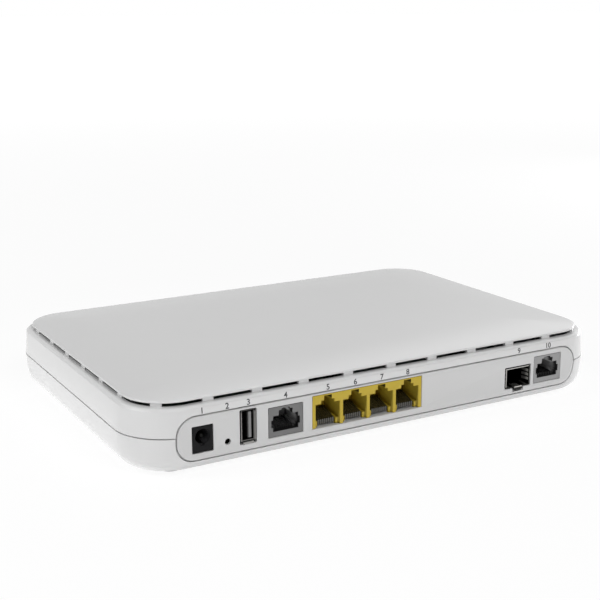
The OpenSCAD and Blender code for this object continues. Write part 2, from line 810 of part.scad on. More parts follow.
module port_panel() {
    color("gainsboro")
        difference() {
            union() {
                translate([0, 0, panel_mid])
                    push_y(panel_front, flange_back)
                        rounded_rect(panel_w, panel_h, panel_r);
                translate([0, 0, panel_mid])
                    push_y(flange_front, flange_back)
                        rounded_rect(panel_w + 2 * flange_w, panel_h + 2 * flange_w, panel_r + flange_w);
            }
            translate([0, 0, panel_mid])
                push_y(panel_front - eps, panel_face)
                    panel_flat_2d();
            translate([0, 0, panel_mid])
                push_y(panel_back, flange_back + eps)
                    panel_flat_2d();
            panel_cut(dc_x, dc_w + 2 * port_gap, -port_gap, dc_h + port_gap);
            panel_cut(usb_x, usb_w + 2 * usb_gap, 0, usb_window_h);
            panel_cut(console_x, jack_w + 2 * port_gap, -port_gap, jack_h + port_gap);
            panel_cut(lan_x, lan_w + 2 * port_gap, -port_gap, lan_h + port_gap);
            panel_cut(wan_x, jack_w + 2 * port_gap, -port_gap, jack_h + port_gap);
            panel_cut(sfp_x, sfp_w + 2 * sfp_gap, -port_gap, sfp_h + sfp_gap);
            panel_cut(sfp_x, sfp_lip_w + 4 * sfp_latch_gap, -sfp_notch_d, sfp_h);
            translate([reset_x, panel_front, board_top + reset_h])
                rotate([-90, 0, 0])
                    cylinder(r = reset_hole_r, h = 2 * panel_t);
        }
}

module rubber_feet() {
    soft = 0.5;
    color("lightgray")
        for (sx = [-1, 1], sy = [-1, 1])
            translate([sx * foot_x, sy * foot_y, 0])
                rotate_extrude() {
                    square([foot_r - soft, foot_h + foot_pocket]);
                    translate([0, soft])
                        square([foot_r, foot_h + foot_pocket - soft]);
                    translate([foot_r - soft, soft])
                        circle(soft);
                }
}

module case_screws() {
    socket_r = 1.2;
    color("dimgray")
        for (p = case_screw_at)
            translate([p[0], p[1], foot_h + screw_sink])
                difference() {
                    union() {
                        cylinder(r = screw_head_r, h = screw_head_h);
                        cylinder(r = screw_r, h = screw_end - foot_h - screw_sink);
                    }
                    translate([0, 0, -eps])
                        cylinder(r = socket_r, h = screw_head_h / 2 + eps, $fn = 6);
                }
}

module main_board() {
    color("seagreen")
        difference() {
            translate([0, board_rear + board_d / 2, board_low])
                linear_extrude(board_t)
                    rounded_rect(board_w, board_d, board_corner_r);
            for (p = standoff_at)
                translate([p[0], p[1], board_low - eps])
                    cylinder(r = board_screw_r + screw_gap, h = board_t + 2 * eps);
        }
}

module board_screws() {
    color("silver")
        for (p = standoff_at)
            translate([p[0], p[1], board_top])
                difference() {
                    union() {
                        cylinder(r = board_screw_head_r, h = board_screw_head_h);
                        translate([0, 0, -board_screw_l])
                            cylinder(r = board_screw_r, h = board_screw_l);
                    }
                    translate([0, 0, board_screw_head_h / 2])
                        cylinder(r = board_screw_r, h = board_screw_head_h, $fn = 6);
                }
}

// A socket's own frame: x across, y into the case from its face, z up from the board
module at_port(x) {
    translate([x, port_y, board_top])
        children();
}

// A round bar or bore along +Y
module bar_y(r, l) {
    rotate([-90, 0, 0])
        cylinder(r = r, h = l);
}

module dc_jack_body() {
    groove_z = dc_axis_h - dc_bore_r - 2 * dc_spring_t;
    color([0.13, 0.13, 0.13])
        at_port(dc_x)
            difference() {
                translate([-dc_w / 2, 0, 0])
                    cube([dc_w, dc_l, dc_h]);
                translate([0, -eps, dc_axis_h])
                    bar_y(dc_bore_r, dc_bore_l + eps);
                translate([-dc_spring_w / 2 - dc_spring_gap, -eps, groove_z])
                    cube([dc_spring_w + 2 * dc_spring_gap, dc_bore_l + eps, dc_bore_r]);
            }
}

module dc_jack_pin() {
    color("silver")
        at_port(dc_x)
            translate([0, dc_bore_l - dc_pin_l, dc_axis_h]) {
                translate([0, dc_pin_r, 0]) {
                    bar_y(dc_pin_r, dc_pin_l - dc_pin_r);
                    sphere(dc_pin_r);
                }
            }
}

module dc_jack_spring() {
    color("goldenrod")
        at_port(dc_x)
            translate([-dc_spring_w / 2, dc_spring_set, dc_axis_h - dc_bore_r - 2 * dc_spring_t])
                cube([dc_spring_w, dc_bore_l - dc_spring_set - eps, dc_spring_t]);
}

// The switch's own frame: y into the case from the front of its body
module at_reset() {
    translate([reset_x, reset_front, board_top])
        children();
}

module reset_switch_body() {
    color([0.2, 0.2, 0.22])
        at_reset()
            difference() {
                translate([-reset_w / 2, 0, 0])
                    cube([reset_w, reset_d, reset_top]);
                translate([0, -eps, reset_h])
                    bar_y(reset_plunger_r + reset_gap, reset_front_wall + 2 * eps);
                translate([0, reset_front_wall, reset_h])
                    bar_y(reset_collar_r + reset_gap, reset_chamber_l);
            }
}

module reset_plunger() {
    color("ivory")
        at_reset()
            translate([0, 0, reset_h]) {
                translate([0, -reset_stroke_out, 0])
                    bar_y(reset_plunger_r, reset_stroke_out + reset_front_wall + reset_collar_t);
                translate([0, reset_front_wall + reset_gap, 0])
                    bar_y(reset_collar_r, reset_collar_t - reset_gap);
            }
}

// Snap dome: a shallow cap on the back of the chamber, its crest just off the plunger
module reset_dome() {
    rise = reset_dome_h - reset_gap;
    ball_r = (reset_collar_r * reset_collar_r + rise * rise) / (2 * rise);
    sheet = 0.12;
    color("silver")
        at_reset()
            translate([0, reset_front_wall + reset_chamber_l, reset_h])
                rotate([90, 0, 0])
                    rotate_extrude()
                        intersection() {
                            square([reset_collar_r, rise]);
                            difference() {
                                translate([0, rise - ball_r])
                                    circle(ball_r);
                                translate([0, rise - ball_r - sheet])
                                    circle(ball_r);
                            }
                        }
}

module usb_shell() {
    inner_w = usb_w - 2 * usb_sheet;
    inner_h = usb_h - 2 * usb_sheet;
    bend_r = 2 * usb_sheet;
    leg_w = 2;
    color("silver")
        at_port(usb_x) {
            translate([0, 0, usb_lift + usb_h / 2])
                difference() {
                    push_y(0, usb_l)
                        rounded_rect(usb_w, usb_h, bend_r);
                    push_y(-eps, usb_l + eps)
                        rounded_rect(inner_w, inner_h, bend_r - usb_sheet);
                }
            for (sx = [-1, 1], y = [board_rear - port_y + leg_w / 2, usb_l - 2 * leg_w])
                translate([sx * (usb_w - usb_sheet) / 2 - usb_sheet / 2, y, 0])
                    cube([usb_sheet, leg_w, usb_lift + bend_r + eps]);
        }
}

module usb_insulator() {
    inner_w = usb_w - 2 * usb_sheet;
    inner_h = usb_h - 2 * usb_sheet;
    tongue_set = 1;
    color([0.25, 0.25, 0.27])
        at_port(usb_x)
            translate([0, 0, usb_lift + usb_h / 2]) {
                push_y(usb_l - usb_block_l, usb_l)
                    rounded_rect(inner_w, inner_h, usb_sheet);
                translate([usb_tongue_x - usb_tongue_t / 2, tongue_set, -usb_tongue_h / 2])
                    cube([usb_tongue_t, usb_l - usb_block_l - tongue_set, usb_tongue_h]);
            }
}

module usb_contacts() {
    strip_t = 0.2;
    strip_w = 1;
    strip_set = 2;
    strip_l = usb_l - usb_block_l - strip_set - eps;
    rows = [-3.5, -1, 1, 3.5];
    color("goldenrod")
        at_port(usb_x)
            for (z = rows)
                translate([
                    usb_tongue_x - usb_tongue_t / 2 - strip_t,
                    strip_set,
                    usb_lift + usb_h / 2 + z - strip_w / 2
                ])
                    cube([strip_t, strip_l, strip_w]);
}

// Outline of a mouth standing on z = 0: plug room, side notches, latch channel and key
module mouth_2d(w, h, lw, lh, kw, kh, nd, nh, nz) {
    translate([-w / 2, 0])
        square([w, h]);
    translate([-lw / 2, 0])
        square([lw, h + lh]);
    translate([-kw / 2, 0])
        square([kw, h + lh + kh]);
    if (nd > 0)
        translate([-w / 2 - nd, nz])
            square([w + 2 * nd, nh]);
}

// Single eight-way socket
module jack_housing() {
    difference() {
        translate([-jack_w / 2, 0, 0])
            cube([jack_w, jack_l, jack_h]);
        translate([0, 0, mouth_floor])
            push_y(-eps, mouth_l)
                mouth_2d(mouth_w, mouth_h, latch_w, latch_h, key_w, key_h, notch_d, notch_h, notch_rise);
    }
}

// Sloping comb on a floor: front and back heights
module contact_comb(z, front_h, back_h) {
    y0 = comb_set;
    y1 = comb_set + comb_l;
    translate([-comb_w / 2, 0, z])
        rotate([90, 0, 90])
            linear_extrude(comb_w)
                polygon([[y0, 0], [y0, front_h], [y1, back_h], [y1, 0]]);
}

// Contact wires: down the front of the comb and up along its slope
module contact_wires(z, low, front_h, back_h) {
    for (x = contact_xs)
        translate([x - contact_t / 2, 0, z])
            rotate([90, 0, 90])
                linear_extrude(contact_t)
                    polygon([
                        [comb_set - contact_t, low],
                        [comb_set, low],
                        [comb_set, front_h],
                        [comb_set + comb_l, back_h],
                        [comb_set + comb_l, back_h + contact_t],
                        [comb_set - contact_t, front_h + contact_t]
                    ]);
}

module console_jack_housing() {
    color([0.46, 0.46, 0.46])
        at_port(console_x)
            jack_housing();
}

module console_jack_comb() {
    color([0.15, 0.15, 0.15])
        at_port(console_x)
            contact_comb(mouth_floor, comb_front_h, comb_back_h);
}

module console_jack_contacts() {
    color("silver")
        at_port(console_x)
            contact_wires(mouth_floor, 0, comb_front_h, comb_back_h);
}

module wan_jack_housing() {
    color([0.66, 0.66, 0.66])
        at_port(wan_x)
            jack_housing();
}

module wan_jack_comb() {
    color([0.15, 0.15, 0.15])
        at_port(wan_x)
            contact_comb(mouth_floor, comb_front_h, comb_back_h);
}

module wan_jack_contacts() {
    color("silver")
        at_port(wan_x)
            contact_wires(mouth_floor, 0, comb_front_h, comb_back_h);
}

module lan_jack_block() {
    bed_w = comb_w + 2 * comb_gap;
    color([0.78, 0.67, 0.2])
        at_port(lan_x)
            difference() {
                translate([-lan_w / 2, 0, 0])
                    cube([lan_w, lan_l, lan_h]);
                for (x = lan_xs)
                    translate([x, 0, 0]) {
                        translate([0, 0, lan_ledge_h])
                            push_y(-eps, mouth_l)
                                mouth_2d(lan_mouth_w, lan_mouth_h - lan_ledge_h, latch_w, lan_latch_h,
                                    key_w, lan_key_h, 0, 0, 0);
                        translate([-lan_mouth_w / 2, -eps, -eps])
                            cube([lan_mouth_w, lan_ledge_set + eps, lan_ledge_h + 2 * eps]);
                        translate([-bed_w / 2, -eps, -eps])
                            cube([bed_w, comb_set + eps, lan_ledge_h + 2 * eps]);
                        translate([-bed_w / 2, -eps, lan_floor])
                            cube([bed_w, mouth_l + eps, lan_ledge_h]);
                    }
            }
}

module lan_jack_combs() {
    color([0.12, 0.12, 0.1])
        at_port(lan_x)
            for (x = lan_xs)
                translate([x, 0, 0])
                    contact_comb(lan_floor, lan_comb_front_h, lan_comb_back_h);
}

module lan_jack_contacts() {
    color("silver")
        at_port(lan_x)
            for (x = lan_xs)
                translate([x, 0, 0])
                    contact_wires(lan_floor, contact_t - lan_floor, lan_comb_front_h, lan_comb_back_h);
}

module sfp_cage() {
    slot_w = sfp_latch_w + 2 * sfp_latch_gap;
    inner_w = sfp_w - 2 * sfp_sheet;
    color("silver")
        at_port(sfp_x)
            difference() {
                translate([-sfp_w / 2, 0, 0])
                    cube([sfp_w, sfp_l, sfp_h]);
                translate([-inner_w / 2, -eps, sfp_sheet])
                    cube([inner_w, sfp_l - sfp_sheet + eps, sfp_h - 2 * sfp_sheet]);
                translate([-inner_w / 2, sfp_floor_l, -eps])
                    cube([inner_w, sfp_l - sfp_sheet - sfp_floor_l, 2 * sfp_sheet + eps]);
                translate([-slot_w / 2, -eps, -eps])
                    cube([slot_w, latch_root + sfp_bend_gap + eps, sfp_sheet + 2 * eps]);
            }
}

// Latch tongue: a strip in the cage floor that ends in a lip bent forward and down
module sfp_latch() {
    fold = 0.3;
    color("silver")
        at_port(sfp_x) {
            translate([-sfp_latch_w / 2, -fold, 0])
                cube([sfp_latch_w, latch_root + fold, sfp_sheet]);
            translate([-sfp_lip_w / 2, 0, 0])
                rotate([90, 0, 90])
                    linear_extrude(sfp_lip_w)
                        polygon([
                            [-fold, sfp_sheet],
                            [-lip_reach, -sfp_lip_drop],
                            [-lip_reach + sfp_sheet, -sfp_lip_drop],
                            [-fold, 0]
                        ]);
        }
}

// Grounding fingers: a row outside each wall of the mouth, and slanted ones inside
module sfp_spring_fingers() {
    set = 0.2;
    inner = sfp_w / 2 - sfp_sheet;
    top_count = floor((sfp_w - finger_w) / finger_pitch);
    side_count = floor((sfp_h - finger_w) / finger_pitch);
    root = 3 * set;
    bend = root + finger_w;
    tip = bend + finger_l;
    slant = [[0, root], [0, bend], [finger_reach, tip], [finger_reach + finger_t, tip - finger_t]];
    color("gainsboro")
        at_port(sfp_x) {
            for (i = [0:top_count])
                translate([(i - top_count / 2) * finger_pitch - finger_w / 2, set, sfp_h])
                    cube([finger_w, finger_l, finger_t]);
            for (sx = [-1, 1], i = [0:side_count])
                translate([sx * (sfp_w + finger_t) / 2, set + finger_l / 2,
                        sfp_h / 2 + (i - side_count / 2) * finger_pitch])
                    cube([finger_t, finger_l, finger_w], center = true);
            for (sx = [-1, 1], i = [-1:1])
                translate([sx * inner, 0, sfp_h / 2 + i * finger_pitch - finger_w / 2])
                    mirror([sx > 0 ? 1 : 0, 0, 0])
                        linear_extrude(finger_w)
                            polygon(slant);
            for (sx = [-1, 1])
                translate([sx * floor_finger_x - finger_w / 2, 0, sfp_sheet])
                    rotate([90, 0, 90])
                        linear_extrude(finger_w)
                            polygon([for (p = slant) [p[1], p[0]]]);
        }
}

module sfp_host_connector() {
    card_slot_h = 1.6;
    card_slot_d = 5;
    card_slot_wall = 1;
    color([0.1, 0.1, 0.1])
        at_port(sfp_x)
            translate([-host_w / 2, sfp_floor_l + host_front_gap, 0])
                difference() {
                    cube([host_w, host_l, host_h]);
                    translate([card_slot_wall, -eps, host_h / 2])
                        cube([host_w - 2 * card_slot_wall, card_slot_d + eps, card_slot_h]);
                }
}

// A flat package on the board, with a pale rim of leads along two sides
module package(x, y, w, d, h) {
    translate([x, y, board_top + h / 2])
        cube([w, d, h], center = true);
    translate([x, y, board_top + h / 8])
        cube([w + 2 * lead_w, d - lead_w, h / 4], center = true);
}

module processor_chip() {
    color([0.2, 0.2, 0.2])
        translate([soc_at[0], soc_at[1], board_top + soc_h / 2])
            cube([soc_w, soc_w, soc_h], center = true);
}

module thermal_pad() {
    color("lightsteelblue")
        translate([soc_at[0], soc_at[1], pad_z + pad_t / 2])
            cube([soc_w, soc_w, pad_t], center = true);
}

module heat_sink() {
    color("darkgray")
        translate([soc_at[0] - sink_w / 2, soc_at[1] - sink_w / 2, sink_z]) {
            cube([sink_w, sink_w, sink_base]);
            for (i = [0:fin_count - 1])
                translate([i * (sink_w - fin_t) / (fin_count - 1), 0, 0])
                    cube([fin_t, sink_w, sink_h]);
        }
}

module memory_chips() {
    y = sink_front + chip_gap + memory_d / 2;
    color([0.16, 0.16, 0.16])
        for (sx = [-1, 1])
            translate([soc_at[0] + sx * memory_pitch / 2, y, board_top + chip_h / 2])
                cube([memory_w, memory_d, chip_h], center = true);
}

module flash_chip() {
    x = soc_at[0] + sink_w / 2 + chip_gap + flash_w;
    color([0.16, 0.16, 0.16])
        package(x, sink_front - flash_d / 2, flash_w, flash_d, chip_h);
}

module switch_chip() {
    color([0.16, 0.16, 0.16])
        package(lan_x, switch_y, switch_w, switch_w, chip_h);
}

module line_transformers() {
    behind = port_y + transformer_gap + transformer_d / 2;
    color([0.1, 0.1, 0.1]) {
        for (x = lan_xs)
            package(lan_x + x, behind + lan_l, transformer_w, transformer_d, transformer_h);
        package(wan_x, behind + jack_l, wan_transformer_w, transformer_d, transformer_h);
    }
}

module power_inductors() {
    color([0.22, 0.22, 0.22])
        for (i = [0:2])
            translate([power_x + i * (coil_w + power_gap), soc_at[1] - coil_w, board_top + coil_h / 2])
                cube([coil_w, coil_w, coil_h], center = true);
}

module electrolytic_capacitors() {
    color([0.15, 0.2, 0.35])
        for (i = [0:2])
            translate([power_x + i * (2 * cap_r + power_gap), soc_at[1] + cap_r + power_gap, board_top])
                cylinder(r = cap_r, h = cap_h);
}

module crystals() {
    beside = chip_gap + crystal_w / 2;
    places = [
        [soc_at[0] - sink_w / 2 - beside, soc_at[1]],
        [lan_x + switch_w / 2 + lead_w + beside, switch_y]
    ];
    color("silver")
        for (p = places)
            translate([p[0], p[1], board_top])
                linear_extrude(crystal_h)
                    slot_2d(crystal_w, crystal_l);
}

module status_leds() {
    color("palegreen")
        for (x = led_xs)
            translate([x, led_y, board_top + led_h / 2])
                cube([led_w, led_d, led_h], center = true);
}

// Clear guide: a leg over each light, one linking bar and a rod to each window
module light_guide() {
    span = (led_count - 1) * led_pitch + 2 * led_leg;
    bar_z = led_z - led_leg / 2;
    color([0.85, 0.9, 0.95, 0.7]) {
        translate([-span / 2, led_y - led_leg / 2, bar_z])
            cube([span, led_leg, led_leg]);
        for (x = led_xs) {
            translate([x - led_leg / 2, led_y - led_leg / 2, led_top + led_rise])
                cube([led_leg, led_leg, bar_z - led_top - led_rise + eps]);
            translate([x, led_y, led_z])
                bar_y(led_r, light_end - led_y);
        }
    }
}

top_cover();
bottom_case();
port_panel();
rubber_feet();
case_screws();
main_board();
board_screws();
dc_jack_body();
dc_jack_pin();
dc_jack_spring();
reset_switch_body();
reset_plunger();
reset_dome();
usb_shell();
usb_insulator();
usb_contacts();
console_jack_housing();
console_jack_comb();
console_jack_contacts();
lan_jack_block();
lan_jack_combs();
lan_jack_contacts();
wan_jack_housing();
wan_jack_comb();
wan_jack_contacts();
sfp_cage();
sfp_latch();
sfp_spring_fingers();
sfp_host_connector();
processor_chip();
thermal_pad();
heat_sink();
memory_chips();
flash_chip();
switch_chip();
line_transformers();
power_inductors();
electrolytic_capacitors();
crystals();
status_leds();
light_guide();
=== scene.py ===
"""Looks of a desktop optical network terminal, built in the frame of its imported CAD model."""

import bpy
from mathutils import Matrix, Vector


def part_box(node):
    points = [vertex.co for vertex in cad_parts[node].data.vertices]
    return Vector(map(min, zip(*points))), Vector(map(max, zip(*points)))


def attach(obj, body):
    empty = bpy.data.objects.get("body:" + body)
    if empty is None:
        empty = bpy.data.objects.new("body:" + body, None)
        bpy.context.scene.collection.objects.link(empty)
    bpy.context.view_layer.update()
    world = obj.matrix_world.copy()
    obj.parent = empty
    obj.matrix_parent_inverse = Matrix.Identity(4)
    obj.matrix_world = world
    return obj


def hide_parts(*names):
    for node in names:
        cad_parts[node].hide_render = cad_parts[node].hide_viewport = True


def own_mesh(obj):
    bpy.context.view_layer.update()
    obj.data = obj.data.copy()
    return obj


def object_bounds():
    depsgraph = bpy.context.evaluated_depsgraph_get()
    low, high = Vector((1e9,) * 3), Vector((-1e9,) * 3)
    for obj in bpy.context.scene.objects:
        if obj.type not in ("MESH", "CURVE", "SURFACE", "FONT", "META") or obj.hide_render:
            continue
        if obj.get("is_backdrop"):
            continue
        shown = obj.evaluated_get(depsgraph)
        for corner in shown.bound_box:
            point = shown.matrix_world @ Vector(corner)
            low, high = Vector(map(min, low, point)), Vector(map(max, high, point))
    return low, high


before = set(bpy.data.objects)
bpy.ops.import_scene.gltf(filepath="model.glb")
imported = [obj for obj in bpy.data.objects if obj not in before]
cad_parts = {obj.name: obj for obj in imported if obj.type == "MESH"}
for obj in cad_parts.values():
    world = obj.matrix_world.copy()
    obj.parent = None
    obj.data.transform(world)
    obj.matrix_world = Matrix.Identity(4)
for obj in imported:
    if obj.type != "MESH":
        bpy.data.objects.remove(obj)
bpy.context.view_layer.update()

import math

import bmesh
import bpy
from bpy.props import FloatProperty, FloatVectorProperty, IntProperty, PointerProperty
from mathutils import Matrix, Vector

bl_info = {
    "name": "Optical Network Terminal",
    "version": (1, 0, 0),
    "blender": (4, 5, 0),
    "location": "View3D > Sidebar > Terminal",
    "description": "Builds the moulded case, the ports and the studio stage of a network terminal",
    "category": "Object",
}

MM = 0.001
# Points nearer to each other than this are one point.
WELD = 0.0005 * MM
# How far a cutter reaches past the face that it cuts.
PAST = 1 * MM
# The fine round along the edges where the two shells meet.
CRISP = 0.12 * MM
# Place on the y axis of the ledge behind the port panel.
PANEL_SEAT = -74.0 * MM
# Width of the hidden flange round the port panel's visible face.
PANEL_FLANGE = 1.2 * MM
# Depth of the flared lip in front of the USB shell.
USB_LIP = 0.95 * MM
# Rounding of the eight-way sockets' edges.
JACK_EDGE = 0.12 * MM
BOARD_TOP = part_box("main_board")[1].z
# The plane in which the sockets end.
SOCKET_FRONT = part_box("lan_jack_block")[0].y
# Every material that was made, by its name.
MATERIALS = {}


def linear(hex_colour):
    """Linear RGBA of an sRGB hex colour."""
    channels = [int(hex_colour[place:place + 2], 16) / 255 for place in (1, 3, 5)]
    return (*[c / 12.92 if c <= 0.04045 else ((c + 0.055) / 1.055) ** 2.4 for c in channels], 1.0)


def length(name, description, millimetres):
    """A length property, stored in metres."""
    return FloatProperty(name=name, description=description, default=millimetres * MM, unit="LENGTH",
                         precision=5)


def colour(name, description, hex_colour):
    """A colour property, stored as linear RGBA."""
    return FloatVectorProperty(name=name, description=description, default=linear(hex_colour),
                               size=4, min=0.0, max=1.0, subtype="COLOR")


def power(name, description, watts):
    """A lamp's power property."""
    return FloatProperty(name=name, description=description, default=watts, min=0.0, unit="POWER")


def level(name, description, brightness):
    """A brightness property."""
    return FloatProperty(name=name, description=description, default=brightness, min=0.0)


class TerminalShape(bpy.types.PropertyGroup):
    """Sizes of the moulded case."""

    corner_radius: length("Corner radius", "Plan radius of the case's four corners", 23.0)
    wall: length("Wall", "Thickness of the moulded shells", 2.0)
    parting_height: length("Parting height", "Height of the line where the two shells meet", 17.3)
    reveal: length("Reveal", "Height of the fine groove along the parting line", 0.5)
    reveal_depth: length("Reveal depth", "Depth of the groove along the parting line", 1.6)
    base_height: length("Base height", "Height of the case's underside above the table", 1.5)
    base_radius: length("Base radius", "Radius between the lower wall and the underside", 8.5)
    base_lean: length("Base lean", "How far the lower wall would lean in at the underside", 1.44)
    rim_height: length("Rim height", "Height where the wall breaks into the top slope", 28.5)
    rim_lean: length("Rim lean", "How far the upper wall leans in at the rim", 1.0)
    rim_radius: length("Rim radius", "Rounding of the rim", 0.7)
    plate_height: length("Plate height", "Height of the top plate's lower edge", 31.0)
    plate_inset: length("Plate inset", "Distance of the top plate's edge inside the case", 4.0)
    plate_edge: length("Plate edge", "Thickness of the top plate's edge", 0.7)
    plate_round: length("Plate rounding", "Rounding of the top plate's upper edge", 0.45)
    crown: length("Crown", "Rise of the top plate from its edge to its middle", 1.2)
    crown_run: length("Crown run", "Width of the zone where the top plate bends down to its edge", 30.0)
    slot_height: length("Vent height", "Opening of the vent slots under the top plate", 1.6)
    rib_count: IntProperty(name="Ribs", description="Number of ribs round the vent ring", default=34, min=4)
    rib_width: length("Rib width", "Width of the ribs between the vent slots", 4.7)
    rib_shift: length("Rib shift", "Distance of the first rib from the middle of the port side", 0.25)
    panel_radius: length("Panel radius", "Corner radius of the port panel", 8.0)
    panel_gap: length("Panel gap", "Groove between the port panel and the shells", 0.65)
    panel_drop: length("Panel drop", "How far the port panel's lower edge sits below the packed one", 0.4)
    panel_dip: length("Panel dip", "How far the port panel's upper edge sits below the packed one", 0.7)
    panel_groove: length("Panel groove", "Depth of the groove round the port panel", 1.3)
    panel_border: length("Panel border", "Width of the raised border of the port panel", 1.3)
    edge: length("Moulded edge", "Rounding of the fine moulded edges", 0.15)
    number_height: length("Number height", "Letter size of the port numbers", 3.4)


class TerminalFinish(bpy.types.PropertyGroup):
    """Colours of the materials."""

    shell: colour("Shell", "White plastic of the case", "#D6D6D6")
    panel: colour("Panel", "White plastic of the port panel", "#CACACA")
    yellow: colour("Yellow", "Plastic of the block of four sockets", "#BAA232")
    dark_grey: colour("Dark grey", "Plastic of the console socket", "#747474")
    light_grey: colour("Light grey", "Plastic of the wide area socket", "#959595")
    black: colour("Black", "Plastic of the power inlet and of two inner parts", "#1C1C1D")
    ivory: colour("Ivory", "Plastic of the reset plunger", "#D9D2C0")
    print_ink: colour("Ink", "Printed port numbers", "#2E2E30")
    rubber: colour("Rubber", "Pale grey rubber of the feet", "#B0B0B0")
    nickel: colour("Nickel", "Plated sheet of the latch, the snap dome and the crystals", "#CFCDC8")
    cage: colour("Cage", "Plated sheet of the optical module cage", "#B0AFAB")
    steel: colour("USB steel", "Plated steel of the USB shell", "#666563")
    # The tongue's plastic is black; this grey stands in for the light on its end face, as painted light.
    tongue: colour("USB tongue", "Plastic of the USB tongue", "#828282")
    # Darker than the plated bronze itself, as painted shade in the mouths.
    contact: colour("Contact", "Plated bronze of the spring contacts", "#72716E")
    board: colour("Board", "Solder mask of the circuit board", "#0F2A1B")


class TerminalStage(bpy.types.PropertyGroup):
    """Camera and light."""

    camera_place: FloatVectorProperty(name="Camera", description="Place of the camera", size=3,
                                      default=(-0.2652, -0.4650, 0.1779), subtype="TRANSLATION",
                                      unit="LENGTH")
    camera_turn: FloatVectorProperty(name="Camera turn", description="Turn of the camera", size=3,
                                     default=tuple(map(math.radians, (75.807, 0.259, -29.671))),
                                     subtype="EULER", unit="ROTATION")
    lens: FloatProperty(name="Lens", description="Focal length of the camera in millimetres",
                        default=68.2, min=1.0)
    port_power: power("Port lamp", "Power of the softbox above the port side", 6.1)
    left_power: power("Left lamp", "Power of the softbox on the left", 3.9)
    overhead_power: power("Overhead lamp", "Power of the large soft lamp overhead", 2.1)
    right_power: power("Right lamp", "Power of the low soft lamp on the right", 4.5)
    # The paper's glow is emission: painted bounce light, not light from the lamps.
    floor_glow: level("Floor glow", "Light that the lit paper gives the object", 2.5)
    horizon: level("Horizon", "Brightness of the surroundings in reflections", 1.0)
    # The softbox shows only in reflections and lights nothing: a painted reflection.
    softbox: level("Softbox", "Brightness that the softbox adds in reflections", 1.07)


def add_node(tree, kind, inputs=None, **options):
    """Add one shader node, set its options and give its sockets values or links."""
    node = tree.nodes.new(kind)
    for option, value in options.items():
        setattr(node, option, value)
    for socket, value in (inputs or {}).items():
        if isinstance(value, bpy.types.NodeSocket):
            tree.links.new(value, node.inputs[socket])
        else:
            node.inputs[socket].default_value = value
    return node


def new_material(name):
    """An empty material and its node tree."""
    material = bpy.data.materials.new(name)
    material.use_nodes = True
    material.node_tree.nodes.clear()
    MATERIALS[name] = material
    return material, material.node_tree


def sunk(tree, place, shade, stages):
    """Painted light and shade, in stages of (axis, start, end, share left, spares fronts) into an opening.
    """
    slanted = -0.7
    facing = -0.95
    axes = add_node(tree, "ShaderNodeSeparateXYZ", {"Vector": place.outputs["Object"]})
    ways = add_node(tree, "ShaderNodeSeparateXYZ", {"Vector": place.outputs["Normal"]})
    front = add_node(tree, "ShaderNodeMapRange",
                     {"Value": ways.outputs["Y"], "From Min": slanted, "From Max": facing})
    for axis, start, end, least, spares in stages:
        share = add_node(tree, "ShaderNodeMapRange",
                         {"Value": axes.outputs[axis], "From Min": start, "From Max": end, "To Min": 1.0,
                          "To Max": least}, interpolation_type="SMOOTHSTEP").outputs["Result"]
        if spares:
            share = add_node(tree, "ShaderNodeMath", {0: share, 1: front.outputs["Result"]},
                             operation="MAXIMUM").outputs["Value"]
        shade = add_node(tree, "ShaderNodeVectorMath", {"Vector": shade, "Scale": share},
                         operation="SCALE").outputs["Vector"]
    return shade


def behind(*stages, spares=False):
    """Stages of painted light and shade (start, end, share left), in millimetres behind the front; the
    first may spare fronts.
    """
    return [("Y", SOCKET_FRONT + start * MM, SOCKET_FRONT + end * MM, least, spares and not place)
            for place, (start, end, least) in enumerate(stages)]


def plastic(name, shade, roughness, sheen=0.5, stages=()):
    """Moulded plastic: an even colour with a faint drift, and the fine eroded grain of its mould."""
    if name in MATERIALS:
        return MATERIALS[name]
    cloud = 25 * MM
    mottle = 0.02
    # A mould's grain is nearer to 0.1 mm. It is drawn as coarse as it needs to show.
    grain = 0.35 * MM
    depth = 0.004 * MM
    swing = 0.05
    material, tree = new_material(name)
    place = add_node(tree, "ShaderNodeTexCoord")
    drift = add_node(tree, "ShaderNodeTexNoise",
                     {"Vector": place.outputs["Object"], "Scale": 1 / cloud, "Detail": 2.0})
    fine = add_node(tree, "ShaderNodeTexNoise",
                    {"Vector": place.outputs["Object"], "Scale": 1 / grain, "Detail": 3.0})
    low = [channel * (1 - mottle) for channel in shade[:3]] + [1.0]
    tint = add_node(tree, "ShaderNodeMix", {0: drift.outputs["Fac"], 6: low, 7: list(shade)},
                    data_type="RGBA")
    gloss = add_node(tree, "ShaderNodeMapRange",
                     {"Value": fine.outputs["Fac"], "To Min": roughness - swing,
                      "To Max": roughness + swing})
    bump = add_node(tree, "ShaderNodeBump",
                    {"Height": fine.outputs["Fac"], "Distance": depth, "Strength": 0.5})
    # Painted light and shade from the stages, scaled into the colour.
    skin = sunk(tree, place, tint.outputs[2], stages)
    shader = add_node(tree, "ShaderNodeBsdfPrincipled",
                      {"Base Color": skin, "Roughness": gloss.outputs["Result"], "IOR": 1.53,
                       "Specular IOR Level": sheen, "Normal": bump.outputs["Normal"]})
    add_node(tree, "ShaderNodeOutputMaterial", {"Surface": shader.outputs["BSDF"]})
    return material


